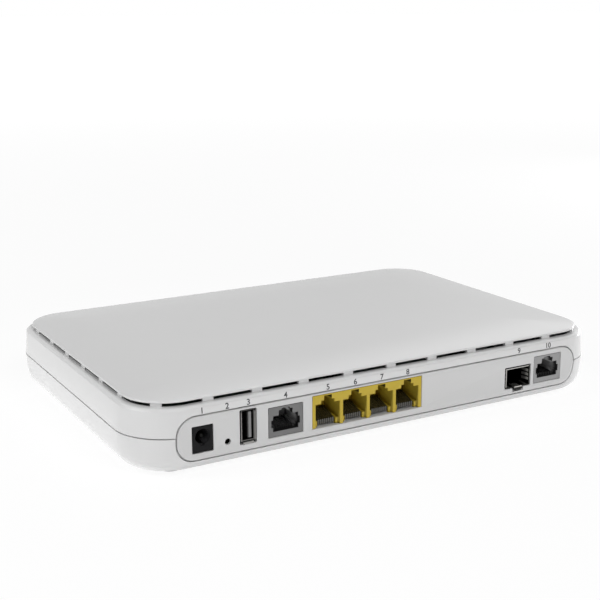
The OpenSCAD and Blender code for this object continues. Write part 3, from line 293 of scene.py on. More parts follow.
def metal(name, shade, roughness, stages=()):
    """Plated or rolled metal: bright, with fine streaks that change its gloss along the rolling."""
    if name in MATERIALS:
        return MATERIALS[name]
    # Rolling lines are finer than 0.1 mm. They are drawn as coarse as they need to show.
    streak = (0.3 * MM, 4.0 * MM, 0.3 * MM)
    dull = 0.9
    depth = 0.002 * MM
    swing = 0.08
    material, tree = new_material(name)
    place = add_node(tree, "ShaderNodeTexCoord")
    spread = add_node(tree, "ShaderNodeMapping",
                      {"Vector": place.outputs["Object"], "Scale": [1 / size for size in streak]})
    lines = add_node(tree, "ShaderNodeTexNoise",
                     {"Vector": spread.outputs["Vector"], "Scale": 1.0, "Detail": 3.0})
    low = [channel * dull for channel in shade[:3]] + [1.0]
    tint = add_node(tree, "ShaderNodeMix", {0: lines.outputs["Fac"], 6: low, 7: list(shade)},
                    data_type="RGBA")
    gloss = add_node(tree, "ShaderNodeMapRange",
                     {"Value": lines.outputs["Fac"], "To Min": roughness - swing,
                      "To Max": roughness + swing})
    bump = add_node(tree, "ShaderNodeBump",
                    {"Height": lines.outputs["Fac"], "Distance": depth, "Strength": 0.4})
    # Painted light and shade from the stages, scaled into the colour.
    skin = sunk(tree, place, tint.outputs[2], stages)
    shader = add_node(tree, "ShaderNodeBsdfPrincipled",
                      {"Base Color": skin, "Metallic": 1.0, "Roughness": gloss.outputs["Result"],
                       "Normal": bump.outputs["Normal"]})
    add_node(tree, "ShaderNodeOutputMaterial", {"Surface": shader.outputs["BSDF"]})
    return material


def solder_mask(shade):
    """Solder mask on a circuit board: glossy green lacquer, paler in lines where copper runs under it."""
    # Tracks are about 0.2 mm wide. They are drawn further apart than real ones, so that they show.
    spacing = 6 * MM
    material, tree = new_material("Solder mask")
    place = add_node(tree, "ShaderNodeTexCoord")
    runs = add_node(tree, "ShaderNodeTexBrick",
                    {"Vector": place.outputs["Object"], "Scale": 1 / spacing, "Mortar Size": 0.03,
                     "Color1": list(shade), "Color2": [channel * 0.9 for channel in shade[:3]] + [1.0],
                     "Mortar": [min(1.0, channel * 1.7) for channel in shade[:3]] + [1.0]})
    shader = add_node(tree, "ShaderNodeBsdfPrincipled",
                      {"Base Color": runs.outputs["Color"], "Roughness": 0.3, "IOR": 1.5})
    add_node(tree, "ShaderNodeOutputMaterial", {"Surface": shader.outputs["BSDF"]})
    return material


def clear_acrylic():
    """Moulded acrylic of the light guide: clear, with a faint haze from the mould."""
    blotch = 0.6 * MM
    material, tree = new_material("Clear acrylic")
    place = add_node(tree, "ShaderNodeTexCoord")
    haze = add_node(tree, "ShaderNodeTexNoise", {"Vector": place.outputs["Object"], "Scale": 1 / blotch})
    gloss = add_node(tree, "ShaderNodeMapRange",
                     {"Value": haze.outputs["Fac"], "To Min": 0.1, "To Max": 0.3})
    shader = add_node(tree, "ShaderNodeBsdfPrincipled",
                      {"Base Color": linear("#F2F4F4"), "Roughness": gloss.outputs["Result"], "IOR": 1.49,
                       "Transmission Weight": 0.85})
    add_node(tree, "ShaderNodeOutputMaterial", {"Surface": shader.outputs["BSDF"]})
    return material


def white_abs(finish):
    """Moulded white ABS of both shells: an even white whose soft gloss blurs the lamps to broad lights."""
    return plastic("White ABS", finish.shell, roughness=0.22)


def nickel_plate(finish):
    """Bright nickel plate: pale, clean metal with sharp highlights."""
    return metal("Nickel plate", finish.nickel, roughness=0.25)


def eased_line(corners, steps=4):
    """Points along a flat line of (x, y, radius) corners, with an arc at each corner that has a radius."""
    points = []
    for place, (x, y, radius) in enumerate(corners):
        here = Vector((x, y))
        if radius <= 0 or place in (0, len(corners) - 1):
            points.append((x, y))
            continue
        back = (Vector(corners[place - 1][:2]) - here).normalized()
        ahead = (Vector(corners[place + 1][:2]) - here).normalized()
        half = back.angle(ahead) / 2
        middle = here + (back + ahead).normalized() * radius / math.sin(half)
        start = here + back * radius / math.tan(half) - middle
        end = here + ahead * radius / math.tan(half) - middle
        turn = math.pi - 2 * half
        for step in range(steps + 1):
            share = step / steps
            spoke = (start * math.sin((1 - share) * turn) + end * math.sin(share * turn)) / math.sin(turn)
            points.append(tuple(middle + spoke))
    return points


def outline(width, height, radius, centre, steps):
    """Points of a rounded rectangle, anticlockwise from its right-hand upper corner."""
    points = []
    for quarter, (side, rise) in enumerate(((1, 1), (-1, 1), (-1, -1), (1, -1))):
        for step in range(steps + 1):
            turn = math.pi / 2 * (quarter + step / steps)
            points.append((centre[0] + side * (width / 2 - radius) + radius * math.cos(turn),
                           centre[1] + rise * (height / 2 - radius) + radius * math.sin(turn)))
    return points


def circle(centre, radius):
    """Points of a circle."""
    sides = 32
    turns = [2 * math.pi * side / sides for side in range(sides)]
    return [(centre[0] + radius * math.cos(turn), centre[1] + radius * math.sin(turn)) for turn in turns]


def loft(rings, into=None, hoop=False):
    """Add a skin through rings of equal length to a bmesh, flat at both ends or closed to a hoop."""
    shape = into or bmesh.new()
    loops = [[shape.verts.new(point) for point in ring] for ring in rings]
    for lower, upper in zip(loops, loops[1:] + loops[:1] if hoop else loops[1:]):
        for place, vert in enumerate(lower):
            shape.faces.new((lower[place - 1], vert, upper[place], upper[place - 1]))
    if not hoop:
        shape.faces.new(loops[0])
        shape.faces.new(loops[-1])
    return shape


def upright(ring, y):
    """Stand a flat ring of (x, z) points up at a place on the y axis."""
    return [(x, y, z) for x, z in ring]


def along_y(ring, start, end, into=None):
    """Carry a flat ring of (x, z) points from one place on the y axis to another."""
    return loft([upright(ring, y) for y in (start, end)], into)


def along_z(ring, start, end, into=None):
    """Carry a flat ring of (x, y) points from one height to another."""
    return loft([[(x, y, z) for x, y in ring] for z in (start, end)], into)


def face_middle(low, high):
    """Middle of a box in x and z."""
    return (low.x + high.x) / 2, (low.z + high.z) / 2


def tidy(shape):
    """Weld a bmesh and turn its faces outwards."""
    bmesh.ops.remove_doubles(shape, verts=shape.verts, dist=WELD)
    bmesh.ops.dissolve_degenerate(shape, edges=shape.edges, dist=WELD)
    bmesh.ops.recalc_face_normals(shape, faces=shape.faces)
    return shape


def fill_ends(shape):
    """Close the open loops of a bmesh and turn its faces outwards."""
    tidy(shape)
    bmesh.ops.holes_fill(shape, edges=[edge for edge in shape.edges if edge.is_boundary], sides=0)
    bmesh.ops.delete(shape, geom=[vert for vert in shape.verts if not vert.link_faces], context="VERTS")
    return tidy(shape)


def crease(made, degrees=35):
    """Smooth shading that breaks at the edges sharper than an angle."""
    made.data.polygons.foreach_set("use_smooth", [True] * len(made.data.polygons))
    made.data.set_sharp_from_angle(angle=math.radians(degrees))
    return made


def piece(name, shape, body, material, nodes=()):
    """A named piece from a bmesh, which rides on a body and stands for CAD nodes."""
    mesh = bpy.data.meshes.new(name)
    shape.to_mesh(mesh)
    shape.free()
    mesh.materials.append(material)
    made = bpy.data.objects.new(name, mesh)
    bpy.context.scene.collection.objects.link(made)
    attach(made, body)
    if nodes:
        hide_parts(*nodes)
    return made


def cut(made, cutter):
    """Take a closed bmesh out of a piece."""
    mesh = bpy.data.meshes.new("cutter")
    tidy(cutter).to_mesh(mesh)
    cutter.free()
    tool = bpy.data.objects.new("cutter", mesh)
    bpy.context.scene.collection.objects.link(tool)
    modifier = made.modifiers.new("cut", "BOOLEAN")
    modifier.operation = "DIFFERENCE"
    modifier.solver = "MANIFOLD"
    modifier.object = tool
    bpy.context.view_layer.update()
    depsgraph = bpy.context.evaluated_depsgraph_get()
    baked = bpy.data.meshes.new_from_object(made.evaluated_get(depsgraph))
    made.modifiers.clear()
    old = made.data
    made.data = baked
    baked.name = made.name
    bpy.data.meshes.remove(old)
    bpy.data.objects.remove(tool)
    bpy.data.meshes.remove(mesh)
    if not len(baked.polygons):
        raise RuntimeError(f"nothing was left of {made.name}")


def node_shape(node):
    """A welded bmesh of a CAD node."""
    shape = bmesh.new()
    shape.from_mesh(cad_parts[node].data)
    bmesh.ops.remove_doubles(shape, verts=shape.verts, dist=WELD)
    return shape


def islands(node):
    """Lowest and highest corner of each separate solid of a CAD node, from left to right."""
    shape = node_shape(node)
    shape.verts.ensure_lookup_table()
    shape.verts.index_update()
    seen = [False] * len(shape.verts)
    boxes = []
    for first in shape.verts:
        if seen[first.index]:
            continue
        seen[first.index] = True
        queue = [first]
        places = []
        while queue:
            vert = queue.pop()
            places.append(vert.co.copy())
            for edge in vert.link_edges:
                other = edge.other_vert(vert)
                if not seen[other.index]:
                    seen[other.index] = True
                    queue.append(other)
        boxes.append((Vector(map(min, *places)), Vector(map(max, *places))))
    shape.free()
    return sorted(boxes, key=lambda box: tuple(box[0]))


def eased_piece(node, width, body, material):
    """A copy of a CAD node in its place, with whole flat faces and its outer corners rounded."""
    flat = math.radians(1)
    sharp = math.radians(40)
    shape = node_shape(node)
    bmesh.ops.dissolve_limit(shape, angle_limit=flat, verts=shape.verts, edges=shape.edges)
    corners = [edge for edge in shape.edges
               if edge.is_manifold and edge.is_convex and edge.calc_face_angle() > sharp]
    bmesh.ops.bevel(shape, geom=corners, offset=width, segments=2, profile=0.5, affect="EDGES",
                    clamp_overlap=True)
    return crease(piece(f"{node}_skin", shape, body, material, (node,)), 40)


class Plan:
    """The case's plan: a rounded rectangle that profiles are swept round."""

    def __init__(self, shape):
        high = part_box("bottom_case")[1]
        self.radius = shape.corner_radius
        self.core = (high.x - self.radius, high.y - self.radius)

    def station(self, distance, ring):
        """Arc centre and outward direction at a distance round the ring of a radius, from rear middle."""
        core_x, core_y = self.core
        quarter = math.pi / 2 * ring
        runs = ((core_x, 0), (quarter, 1), (2 * core_y, 0), (quarter, 1), (2 * core_x, 0), (quarter, 1),
                (2 * core_y, 0), (quarter, 1), (core_x, 0))
        corners = ((core_x, -core_y), (core_x, core_y), (-core_x, core_y), (-core_x, -core_y))
        left = distance
        for place, (run, bends) in enumerate(runs):
            if left <= run or place == len(runs) - 1:
                break
            left -= run
        if bends:
            turn = -math.pi / 2 + math.pi / 2 * (place // 2) + left / ring
            return Vector(corners[place // 2]), Vector((math.cos(turn), math.sin(turn)))
        side = place // 2 % 4
        turn = -math.pi / 2 + math.pi / 2 * side
        forward = Vector((-math.sin(turn), math.cos(turn)))
        start = Vector((0.0, -core_y)) if place == 0 else Vector(corners[place // 2 - 1])
        return start + forward * left, Vector((math.cos(turn), math.sin(turn)))

    def length(self, ring):
        """Length of the ring of a radius."""
        return 4 * (self.core[0] + self.core[1]) + 2 * math.pi * ring

    def bends(self, ring, steps):
        """Distances round the ring at the ends of its arcs and along them."""
        core_x, core_y = self.core
        quarter = math.pi / 2 * ring
        starts = [core_x, core_x + quarter + 2 * core_y, 3 * core_x + 2 * quarter + 2 * core_y,
                  3 * core_x + 3 * quarter + 4 * core_y]
        return [start + quarter * step / steps for start in starts for step in range(steps + 1)]

    def point(self, station, inset, height):
        """Place of a profile point at a station."""
        centre, out = station
        past = max(0.0, inset - self.radius)
        reach = [max(past - half, min(half - past, spot)) for spot, half in zip(centre, self.core)]
        spot = Vector(reach) + out * max(0.0, self.radius - inset)
        return Vector((spot.x, spot.y, height))

    def rear(self, x, inset):
        """Rear wall's y at an x, for a wall that is drawn in by an inset."""
        reach = max(0.0, abs(x) - self.core[0])
        return -self.core[1] - math.sqrt(max(0.0, (self.radius - inset) ** 2 - reach ** 2))


def wall_inset(shape, height):
    """How far the outer wall is drawn in at a height."""
    rise = height - shape.parting_height
    if rise >= 0:
        return shape.rim_lean * rise / (shape.rim_height - shape.parting_height)
    drop = shape.parting_height - shape.base_height
    slope = shape.base_lean / drop
    straight = -rise * slope
    low = shape.base_height + shape.base_radius
    if height > low:
        return straight
    middle = slope * (shape.parting_height - low) + shape.base_radius * math.hypot(1, slope)
    return max(straight, middle - math.sqrt(shape.base_radius ** 2 - (low - height) ** 2))


def eased_mouth(width, steps):
    """Rows of (spread, depth) that round the edge of an opening."""
    turns = [math.pi / 2 * step / steps for step in range(steps + 1)]
    return [(width * (1 - math.sin(turn)), width * (1 - math.cos(turn))) for turn in turns]


def panel_box(shape):
    """Corners of the panel's visible face."""
    low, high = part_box("port_panel")
    return (low + Vector((PANEL_FLANGE, 0, PANEL_FLANGE - shape.panel_drop)),
            high - Vector((PANEL_FLANGE, 0, PANEL_FLANGE + shape.panel_dip)))


def window_cutter(shape, plan):
    """Cutter of the panel's window in the shells, with a rounded mouth along the wall's face."""
    outside = -4.0 * MM
    arc = 12
    low, high = panel_box(shape)
    width = high.x - low.x + 2 * shape.panel_gap
    tall = high.z - low.z + 2 * shape.panel_gap
    radius = shape.panel_radius + shape.panel_gap
    centre = face_middle(low, high)
    rings = []
    for spread, depth in [(shape.edge, outside)] + eased_mouth(shape.edge, 4):
        ring = outline(width + 2 * spread, tall + 2 * spread, radius + spread, centre, arc)
        rings.append([(x, plan.rear(x, wall_inset(shape, z)) + depth, z) for x, z in ring])
    rings.append(upright(outline(width, tall, radius, centre, arc), PANEL_SEAT))
    return loft(rings)


def windows():
    """Centre, width, lower and upper edge and corner radius of each window in the panel."""
    # Each row has the gaps on the left, on the right, below and above, and the corner radius.
    gap = 0.15 * MM
    close = (gap, gap, gap, gap, 0.3 * MM)
    rows = (("dc_jack_body", *close),
            ("usb_shell", 1.2 * MM, 0.75 * MM, 0.5 * MM, 0.6 * MM, 0.6 * MM),
            ("console_jack_housing", *close),
            ("lan_jack_block", *close),
            ("sfp_cage", 0.75 * MM, 0.4 * MM, 0.25 * MM, 0.65 * MM, 0.3 * MM),
            ("wan_jack_housing", *close))
    made = []
    for node, left, right, below, above, radius in rows:
        low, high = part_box(node)
        made.append(((low.x + high.x + right - left) / 2, high.x - low.x + left + right,
                     max(low.z, BOARD_TOP) - below, high.z + above, radius))
    low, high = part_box("reset_plunger")
    middle = (low + high) / 2
    bore = 1.3 * MM
    made.append((middle.x, 2 * bore, middle.z - bore, middle.z + bore, bore - WELD))
    return made


class TERMINAL_OT_stage(bpy.types.Operator):
    """Set up the camera, the pale floor and the soft light"""
    bl_idname = "terminal.stage"
    bl_label = "Stage"

    def set_camera(self, context, stage):
        """Place the camera."""
        eye = bpy.data.objects.new("camera", bpy.data.cameras.new("camera"))
        eye.data.lens = stage.lens
        eye.data.sensor_width = 36.0
        eye.data.clip_start = 0.01
        eye.location = stage.camera_place
        eye.rotation_euler = stage.camera_turn
        context.scene.collection.objects.link(eye)
        context.scene.camera = eye

    def paper(self, stage):
        """Pale seamless paper: white to the eye, with the object's shadow just showing. It also glows onto
        the object from below as painted bounce light.
        """
        material, tree = new_material("Seamless paper")
        ray = add_node(tree, "ShaderNodeLightPath")
        spot = add_node(tree, "ShaderNodeTexCoord")
        # The camera sees it a little whiter away from the object.
        away = add_node(tree, "ShaderNodeVectorMath", {0: spot.outputs["Object"]}, operation="LENGTH")
        white = add_node(tree, "ShaderNodeMapRange",
                         {"Value": away.outputs["Value"], "From Min": 0.25, "From Max": 2.0,
                          "To Min": 1.03, "To Max": 1.17})
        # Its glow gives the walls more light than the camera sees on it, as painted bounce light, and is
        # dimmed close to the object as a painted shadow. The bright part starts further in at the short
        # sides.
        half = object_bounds()[1]
        further_in = 1.22
        dimmed = 0.55
        shares = add_node(tree, "ShaderNodeVectorMath",
                          {0: spot.outputs["Object"], 1: (further_in / half.x, 1 / half.y, 0)},
                          operation="MULTIPLY")
        sides = add_node(tree, "ShaderNodeVectorMath", {0: shares.outputs["Vector"]}, operation="ABSOLUTE")
        axes = add_node(tree, "ShaderNodeSeparateXYZ", {"Vector": sides.outputs["Vector"]})
        beside = add_node(tree, "ShaderNodeMath", {0: axes.outputs["X"], 1: axes.outputs["Y"]},
                          operation="MAXIMUM")
        lit = add_node(tree, "ShaderNodeMapRange",
                       {"Value": beside.outputs["Value"], "From Min": 0.98, "From Max": 1.2,
                        "To Min": dimmed * stage.floor_glow, "To Max": stage.floor_glow})
        strength = add_node(tree, "ShaderNodeMix",
                            {0: ray.outputs["Is Camera Ray"], 2: lit.outputs["Result"],
                             3: white.outputs["Result"]})
        glow = add_node(tree, "ShaderNodeEmission", {"Strength": strength.outputs[0]})
        sheet = add_node(tree, "ShaderNodeBsdfDiffuse", {"Color": linear("#F4F4F4")})
        # Share of the glow. The rest is plain paper, which keeps the shadow.
        glow_share = 0.3
        camera_adds = 0.58
        seen = add_node(tree, "ShaderNodeMath",
                        {0: ray.outputs["Is Camera Ray"], 1: camera_adds, 2: glow_share},
                        operation="MULTIPLY_ADD")
        both = add_node(tree, "ShaderNodeMixShader",
                        {0: seen.outputs["Value"], 1: sheet.outputs["BSDF"], 2: glow.outputs["Emission"]})
        add_node(tree, "ShaderNodeOutputMaterial", {"Surface": both.outputs["Shader"]})
        return material

    def lay_floor(self, context, material):
        """Lay the floor, wide enough to reach the horizon."""
        reach = 60.0
        corners = [(-reach, -reach, 0), (reach, -reach, 0), (reach, reach, 0), (-reach, reach, 0)]
        mesh = bpy.data.meshes.new("floor")
        mesh.from_pydata(corners, [], [(0, 1, 2, 3)])
        mesh.materials.append(material)
        floor = bpy.data.objects.new("floor", mesh)
        context.scene.collection.objects.link(floor)
        floor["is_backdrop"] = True

    def light_world(self, context, stage):
        """White surroundings for the camera and for reflections. The reflections also show a softbox that
        gives no light: a painted reflection.
        """
        world = bpy.data.worlds.new("studio")
        context.scene.world = world
        world.use_nodes = True
        tree = world.node_tree
        tree.nodes.clear()
        ray = add_node(tree, "ShaderNodeLightPath")
        place = add_node(tree, "ShaderNodeTexCoord")
        # The painted softbox is behind the object on the right, above a slanted edge.
        above_edge = (0.290, -0.569, 0.768)
        bright = stage.horizon + stage.softbox
        side = add_node(tree, "ShaderNodeVectorMath", {0: place.outputs["Generated"], 1: above_edge},
                        operation="DOT_PRODUCT")
        panel = add_node(tree, "ShaderNodeMapRange",
                         {"Value": side.outputs["Value"], "From Min": -0.03, "From Max": 0.03,
                          "To Min": stage.horizon, "To Max": bright}, interpolation_type="SMOOTHSTEP")
        axes = add_node(tree, "ShaderNodeSeparateXYZ", {"Vector": place.outputs["Generated"]})
        back = add_node(tree, "ShaderNodeMapRange",
                        {"Value": axes.outputs["Y"], "From Min": -0.1, "From Max": 0.2,
                         "To Min": stage.horizon, "To Max": bright})
        shown = add_node(tree, "ShaderNodeMath", {0: panel.outputs["Result"], 1: back.outputs["Result"]},
                         operation="MINIMUM")
        mirror = add_node(tree, "ShaderNodeMath",
                          {0: ray.outputs["Is Glossy Ray"], 1: shown.outputs["Value"]},
                          operation="MULTIPLY")
        seen = add_node(tree, "ShaderNodeMath",
                        {0: ray.outputs["Is Camera Ray"], 1: ray.outputs["Is Transmission Ray"]},
                        operation="MAXIMUM")
        strength = add_node(tree, "ShaderNodeMath", {0: mirror.outputs["Value"], 1: seen.outputs["Value"]},
                            operation="MAXIMUM")
        sky = add_node(tree, "ShaderNodeBackground",
                       {"Color": (1, 1, 1, 1), "Strength": strength.outputs["Value"]})
        add_node(tree, "ShaderNodeOutputWorld", {"Surface": sky.outputs["Background"]})

    def hang_lamps(self, context, stage):
        """Hang the soft lamps round the object."""
        target = Vector((0.0, 0.0, 0.02))
        lamps = (("port_lamp", stage.port_power, (0.6, 0.4), (0.0, -0.9, 0.8)),
                 ("left_lamp", stage.left_power, (0.4, 0.4), (-0.8, 0.1, 0.6)),
                 ("overhead_lamp", stage.overhead_power, (0.8, 0.8), (0.0, 0.0, 1.2)),
                 ("right_lamp", stage.right_power, (0.5, 0.1), (0.9, 0.15, 0.08)))
        for name, watts, (wide, tall), place in lamps:
            light = bpy.data.lights.new(name, "AREA")
            light.energy = watts
            light.shape = "RECTANGLE"
            light.size = wide
            light.size_y = tall
            lamp = bpy.data.objects.new(name, light)
            lamp.location = place
            lamp.rotation_euler = (target - Vector(place)).to_track_quat("-Z", "Y").to_euler()
            lamp.visible_camera = False
            context.scene.collection.objects.link(lamp)
            lamp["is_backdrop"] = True

    def execute(self, context):
        stage = context.scene.terminal_stage
        context.scene.view_settings.view_transform = "Standard"
        self.set_camera(context, stage)
        self.lay_floor(context, self.paper(stage))
        self.light_world(context, stage)
        self.hang_lamps(context, stage)
        return {"FINISHED"}


class TERMINAL_OT_cover(bpy.types.Operator):
    """Build the upper shell with its crowned plate and its ring of vent slots"""
    bl_idname = "terminal.cover"
    bl_label = "Cover"

    def rows(self, shape):
        """Strips of (inset, height): those that run all round, those of a rib and those of a vent."""
        parting = shape.parting_height
        plate = shape.plate_height
        inset = shape.plate_inset
        top = plate + shape.plate_edge
        rim = Vector((shape.rim_lean, shape.rim_height))
        lip_end = Vector((inset, plate))
        # Where the slope above the rim starts to bend into the vents' floor, and what it bends round.
        lip = rim.lerp(lip_end, 0.25)
        floor_turn = rim.lerp(lip_end, 0.42)
        floor_end = Vector((inset + 1.2 * MM, plate - shape.slot_height))
        roof_end = Vector((inset + 3.0 * MM, plate))
        back = (inset + 5 * MM, plate)
        foot = shape.rim_lean * shape.reveal / (shape.rim_height - parting)
        outside = eased_line(((shape.wall, parting, 0), (shape.reveal_depth, parting, 0),
                              (shape.reveal_depth, parting + shape.reveal, 0),
                              (foot, parting + shape.reveal, CRISP), (*rim, shape.rim_radius), (*lip, 0)))
        steps = 6
        floor = []
        for step in range(steps + 1):
            share = step / steps
            floor.append(tuple(lip.lerp(floor_turn, share).lerp(floor_turn.lerp(floor_end, share), share)))
        crown = [(inset + shape.crown_run * share, top + shape.crown * (1 - (1 - share) ** 2))
                 for share in (0.05, 0.1, 0.18, 0.28, 0.38, 0.5, 0.63, 0.8, 1.0)]
        edge = eased_line(((*lip_end, 0), (inset, top, shape.plate_round), (*crown[0], 0)))
        under_rim = (shape.rim_lean + shape.wall, shape.rim_height - 1 * MM)
        inside = [floor[-1], under_rim, (shape.wall, parting)]
        # The ribs stand on one line of the floor, a little behind the plate's edge.
        stand = 5
        rib_top = (inset + 0.4 * MM, plate)
        whole = [outside, floor[:stand + 1], edge + crown[1:], [(shape.corner_radius, plate), back], inside]
        rib = [[floor[stand], rib_top, tuple(lip_end)], [back, floor[-1]]]
        vent = [floor[stand:], [tuple(lip_end), tuple(roof_end), back]]
        return whole, rib, vent

    def light_holes(self):
        """Cutter of the row of round holes in front of the status lights."""
        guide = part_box("light_guide")[1]
        height = guide.z - 1.3 * MM
        radius = 1.2 * MM
        reach = 6 * MM
        holes = bmesh.new()
        for low, high in islands("status_leds"):
            ring = circle(((low.x + high.x) / 2, height), radius)
            along_y(ring, guide.y - reach, guide.y + reach, holes)
        return holes

    def execute(self, context):
        shape = context.scene.terminal_shape
        finish = context.scene.terminal_finish
        plan = Plan(shape)
        ring = shape.corner_radius - shape.plate_inset
        around = plan.length(ring)
        pitch = around / shape.rib_count
        half = shape.rib_width / 2
        corner_steps = 22
        least_run = 0.004 * MM
        marks = plan.bends(ring, corner_steps)
        for rib in range(shape.rib_count):
            middle = rib * pitch + shape.rib_shift
            marks += [(middle + half) % around, (middle - half) % around]
        marks = sorted(marks)
        marks = [mark for place, mark in enumerate(marks)
                 if place == 0 or mark - marks[place - 1] > least_run]
        stations = [plan.station(mark, ring) for mark in marks]
        whole, rib, vent = self.rows(shape)

        skin = bmesh.new()
        for place, station in enumerate(stations):
            before = stations[place - 1]
            run = (marks[place] - marks[place - 1]) % around
            middle = (marks[place] - run / 2) % around
            solid = abs((middle - shape.rib_shift + pitch / 2) % pitch - pitch / 2) < half
            for strip in whole + (rib if solid else vent):
                for low, high in zip(strip, strip[1:]):
                    spots = ((before, low), (station, low), (station, high), (before, high))
                    skin.faces.new([skin.verts.new(plan.point(stop, *spot)) for stop, spot in spots])
        made = piece("cover", fill_ends(skin), "case", white_abs(finish), ("top_cover",))
        cut(made, window_cutter(shape, plan))
        cut(made, self.light_holes())
        crease(made)
        return {"FINISHED"}


class TERMINAL_OT_base(bpy.types.Operator):
    """Build the lower shell with its rounded underside, its vent slots and its keyholes"""
    bl_idname = "terminal.base"
    bl_label = "Base"

    def skin(self, shape, plan, inner_floor):
        """Skin of the shell before anything is cut into it."""
        parting = shape.parting_height
        ring = shape.corner_radius
        outside = eased_line(((shape.wall, parting, 0), (0, parting, CRISP),
                              (shape.base_lean, shape.base_height, shape.base_radius),
                              (ring, shape.base_height, 0)), 12)
        inside = eased_line(((ring, inner_floor, 0),
                             (shape.base_lean + shape.wall, inner_floor, shape.base_radius - shape.wall),
                             (shape.wall, parting, 0)), 6)
        corner_steps = 28
        stations = [plan.station(mark, ring) for mark in plan.bends(ring, corner_steps)]
        skin = bmesh.new()
        grids = [[[skin.verts.new(plan.point(station, *spot)) for spot in strip]
                  for strip in (outside, inside)] for station in stations]
        for place in range(len(grids)):
            for here, before in zip(grids[place], grids[place - 1]):
                for row in range(len(here) - 1):
                    skin.faces.new((before[row], here[row], here[row + 1], before[row + 1]))
        return fill_ends(skin)

    def execute(self, context):
        shape = context.scene.terminal_shape
        finish = context.scene.terminal_finish
        plan = Plan(shape)
        inner_floor = shape.base_height + shape.wall
        skin = self.skin(shape, plan, inner_floor)
        made = piece("base", skin, "case", white_abs(finish), ("bottom_case",))
        cut(made, window_cutter(shape, plan))

        below = shape.base_height - 2 * PAST
        above = inner_floor + 2 * PAST
        foot_seat = shape.base_height + 0.6 * MM
        holes = bmesh.new()
        for node, gap, end in (("case_screws", 0.3 * MM, above), ("rubber_feet", 0.1 * MM, foot_seat)):
            for low, high in islands(node):
                along_z(circle((low + high) / 2, (high.x - low.x) / 2 + gap), below, end, holes)
        slot = (2.0 * MM, 24.0 * MM)
        slot_pitch = 5.0 * MM
        slots_each_side = 6
        for row in (-30.0 * MM, 30.0 * MM):
            for number in range(-slots_each_side, slots_each_side + 1):
                ring = outline(*slot, slot[0] / 2 - WELD, (number * slot_pitch, row), 4)
                along_z(ring, below, above, holes)
        cut(made, holes)

        key_radius = 4.0 * MM
        neck = (4.0 * MM, 10.0 * MM)
        keys = bmesh.new()
        necks = bmesh.new()
        for side in (-60.0 * MM, 60.0 * MM):
            along_z(circle((side, 0.0), key_radius), below, above, keys)
            ring = outline(*neck, neck[0] / 2 - WELD, (side, neck[1] / 2), 6)
            along_z(ring, below, above, necks)
        cut(made, keys)
        cut(made, necks)
        crease(made)
        return {"FINISHED"}


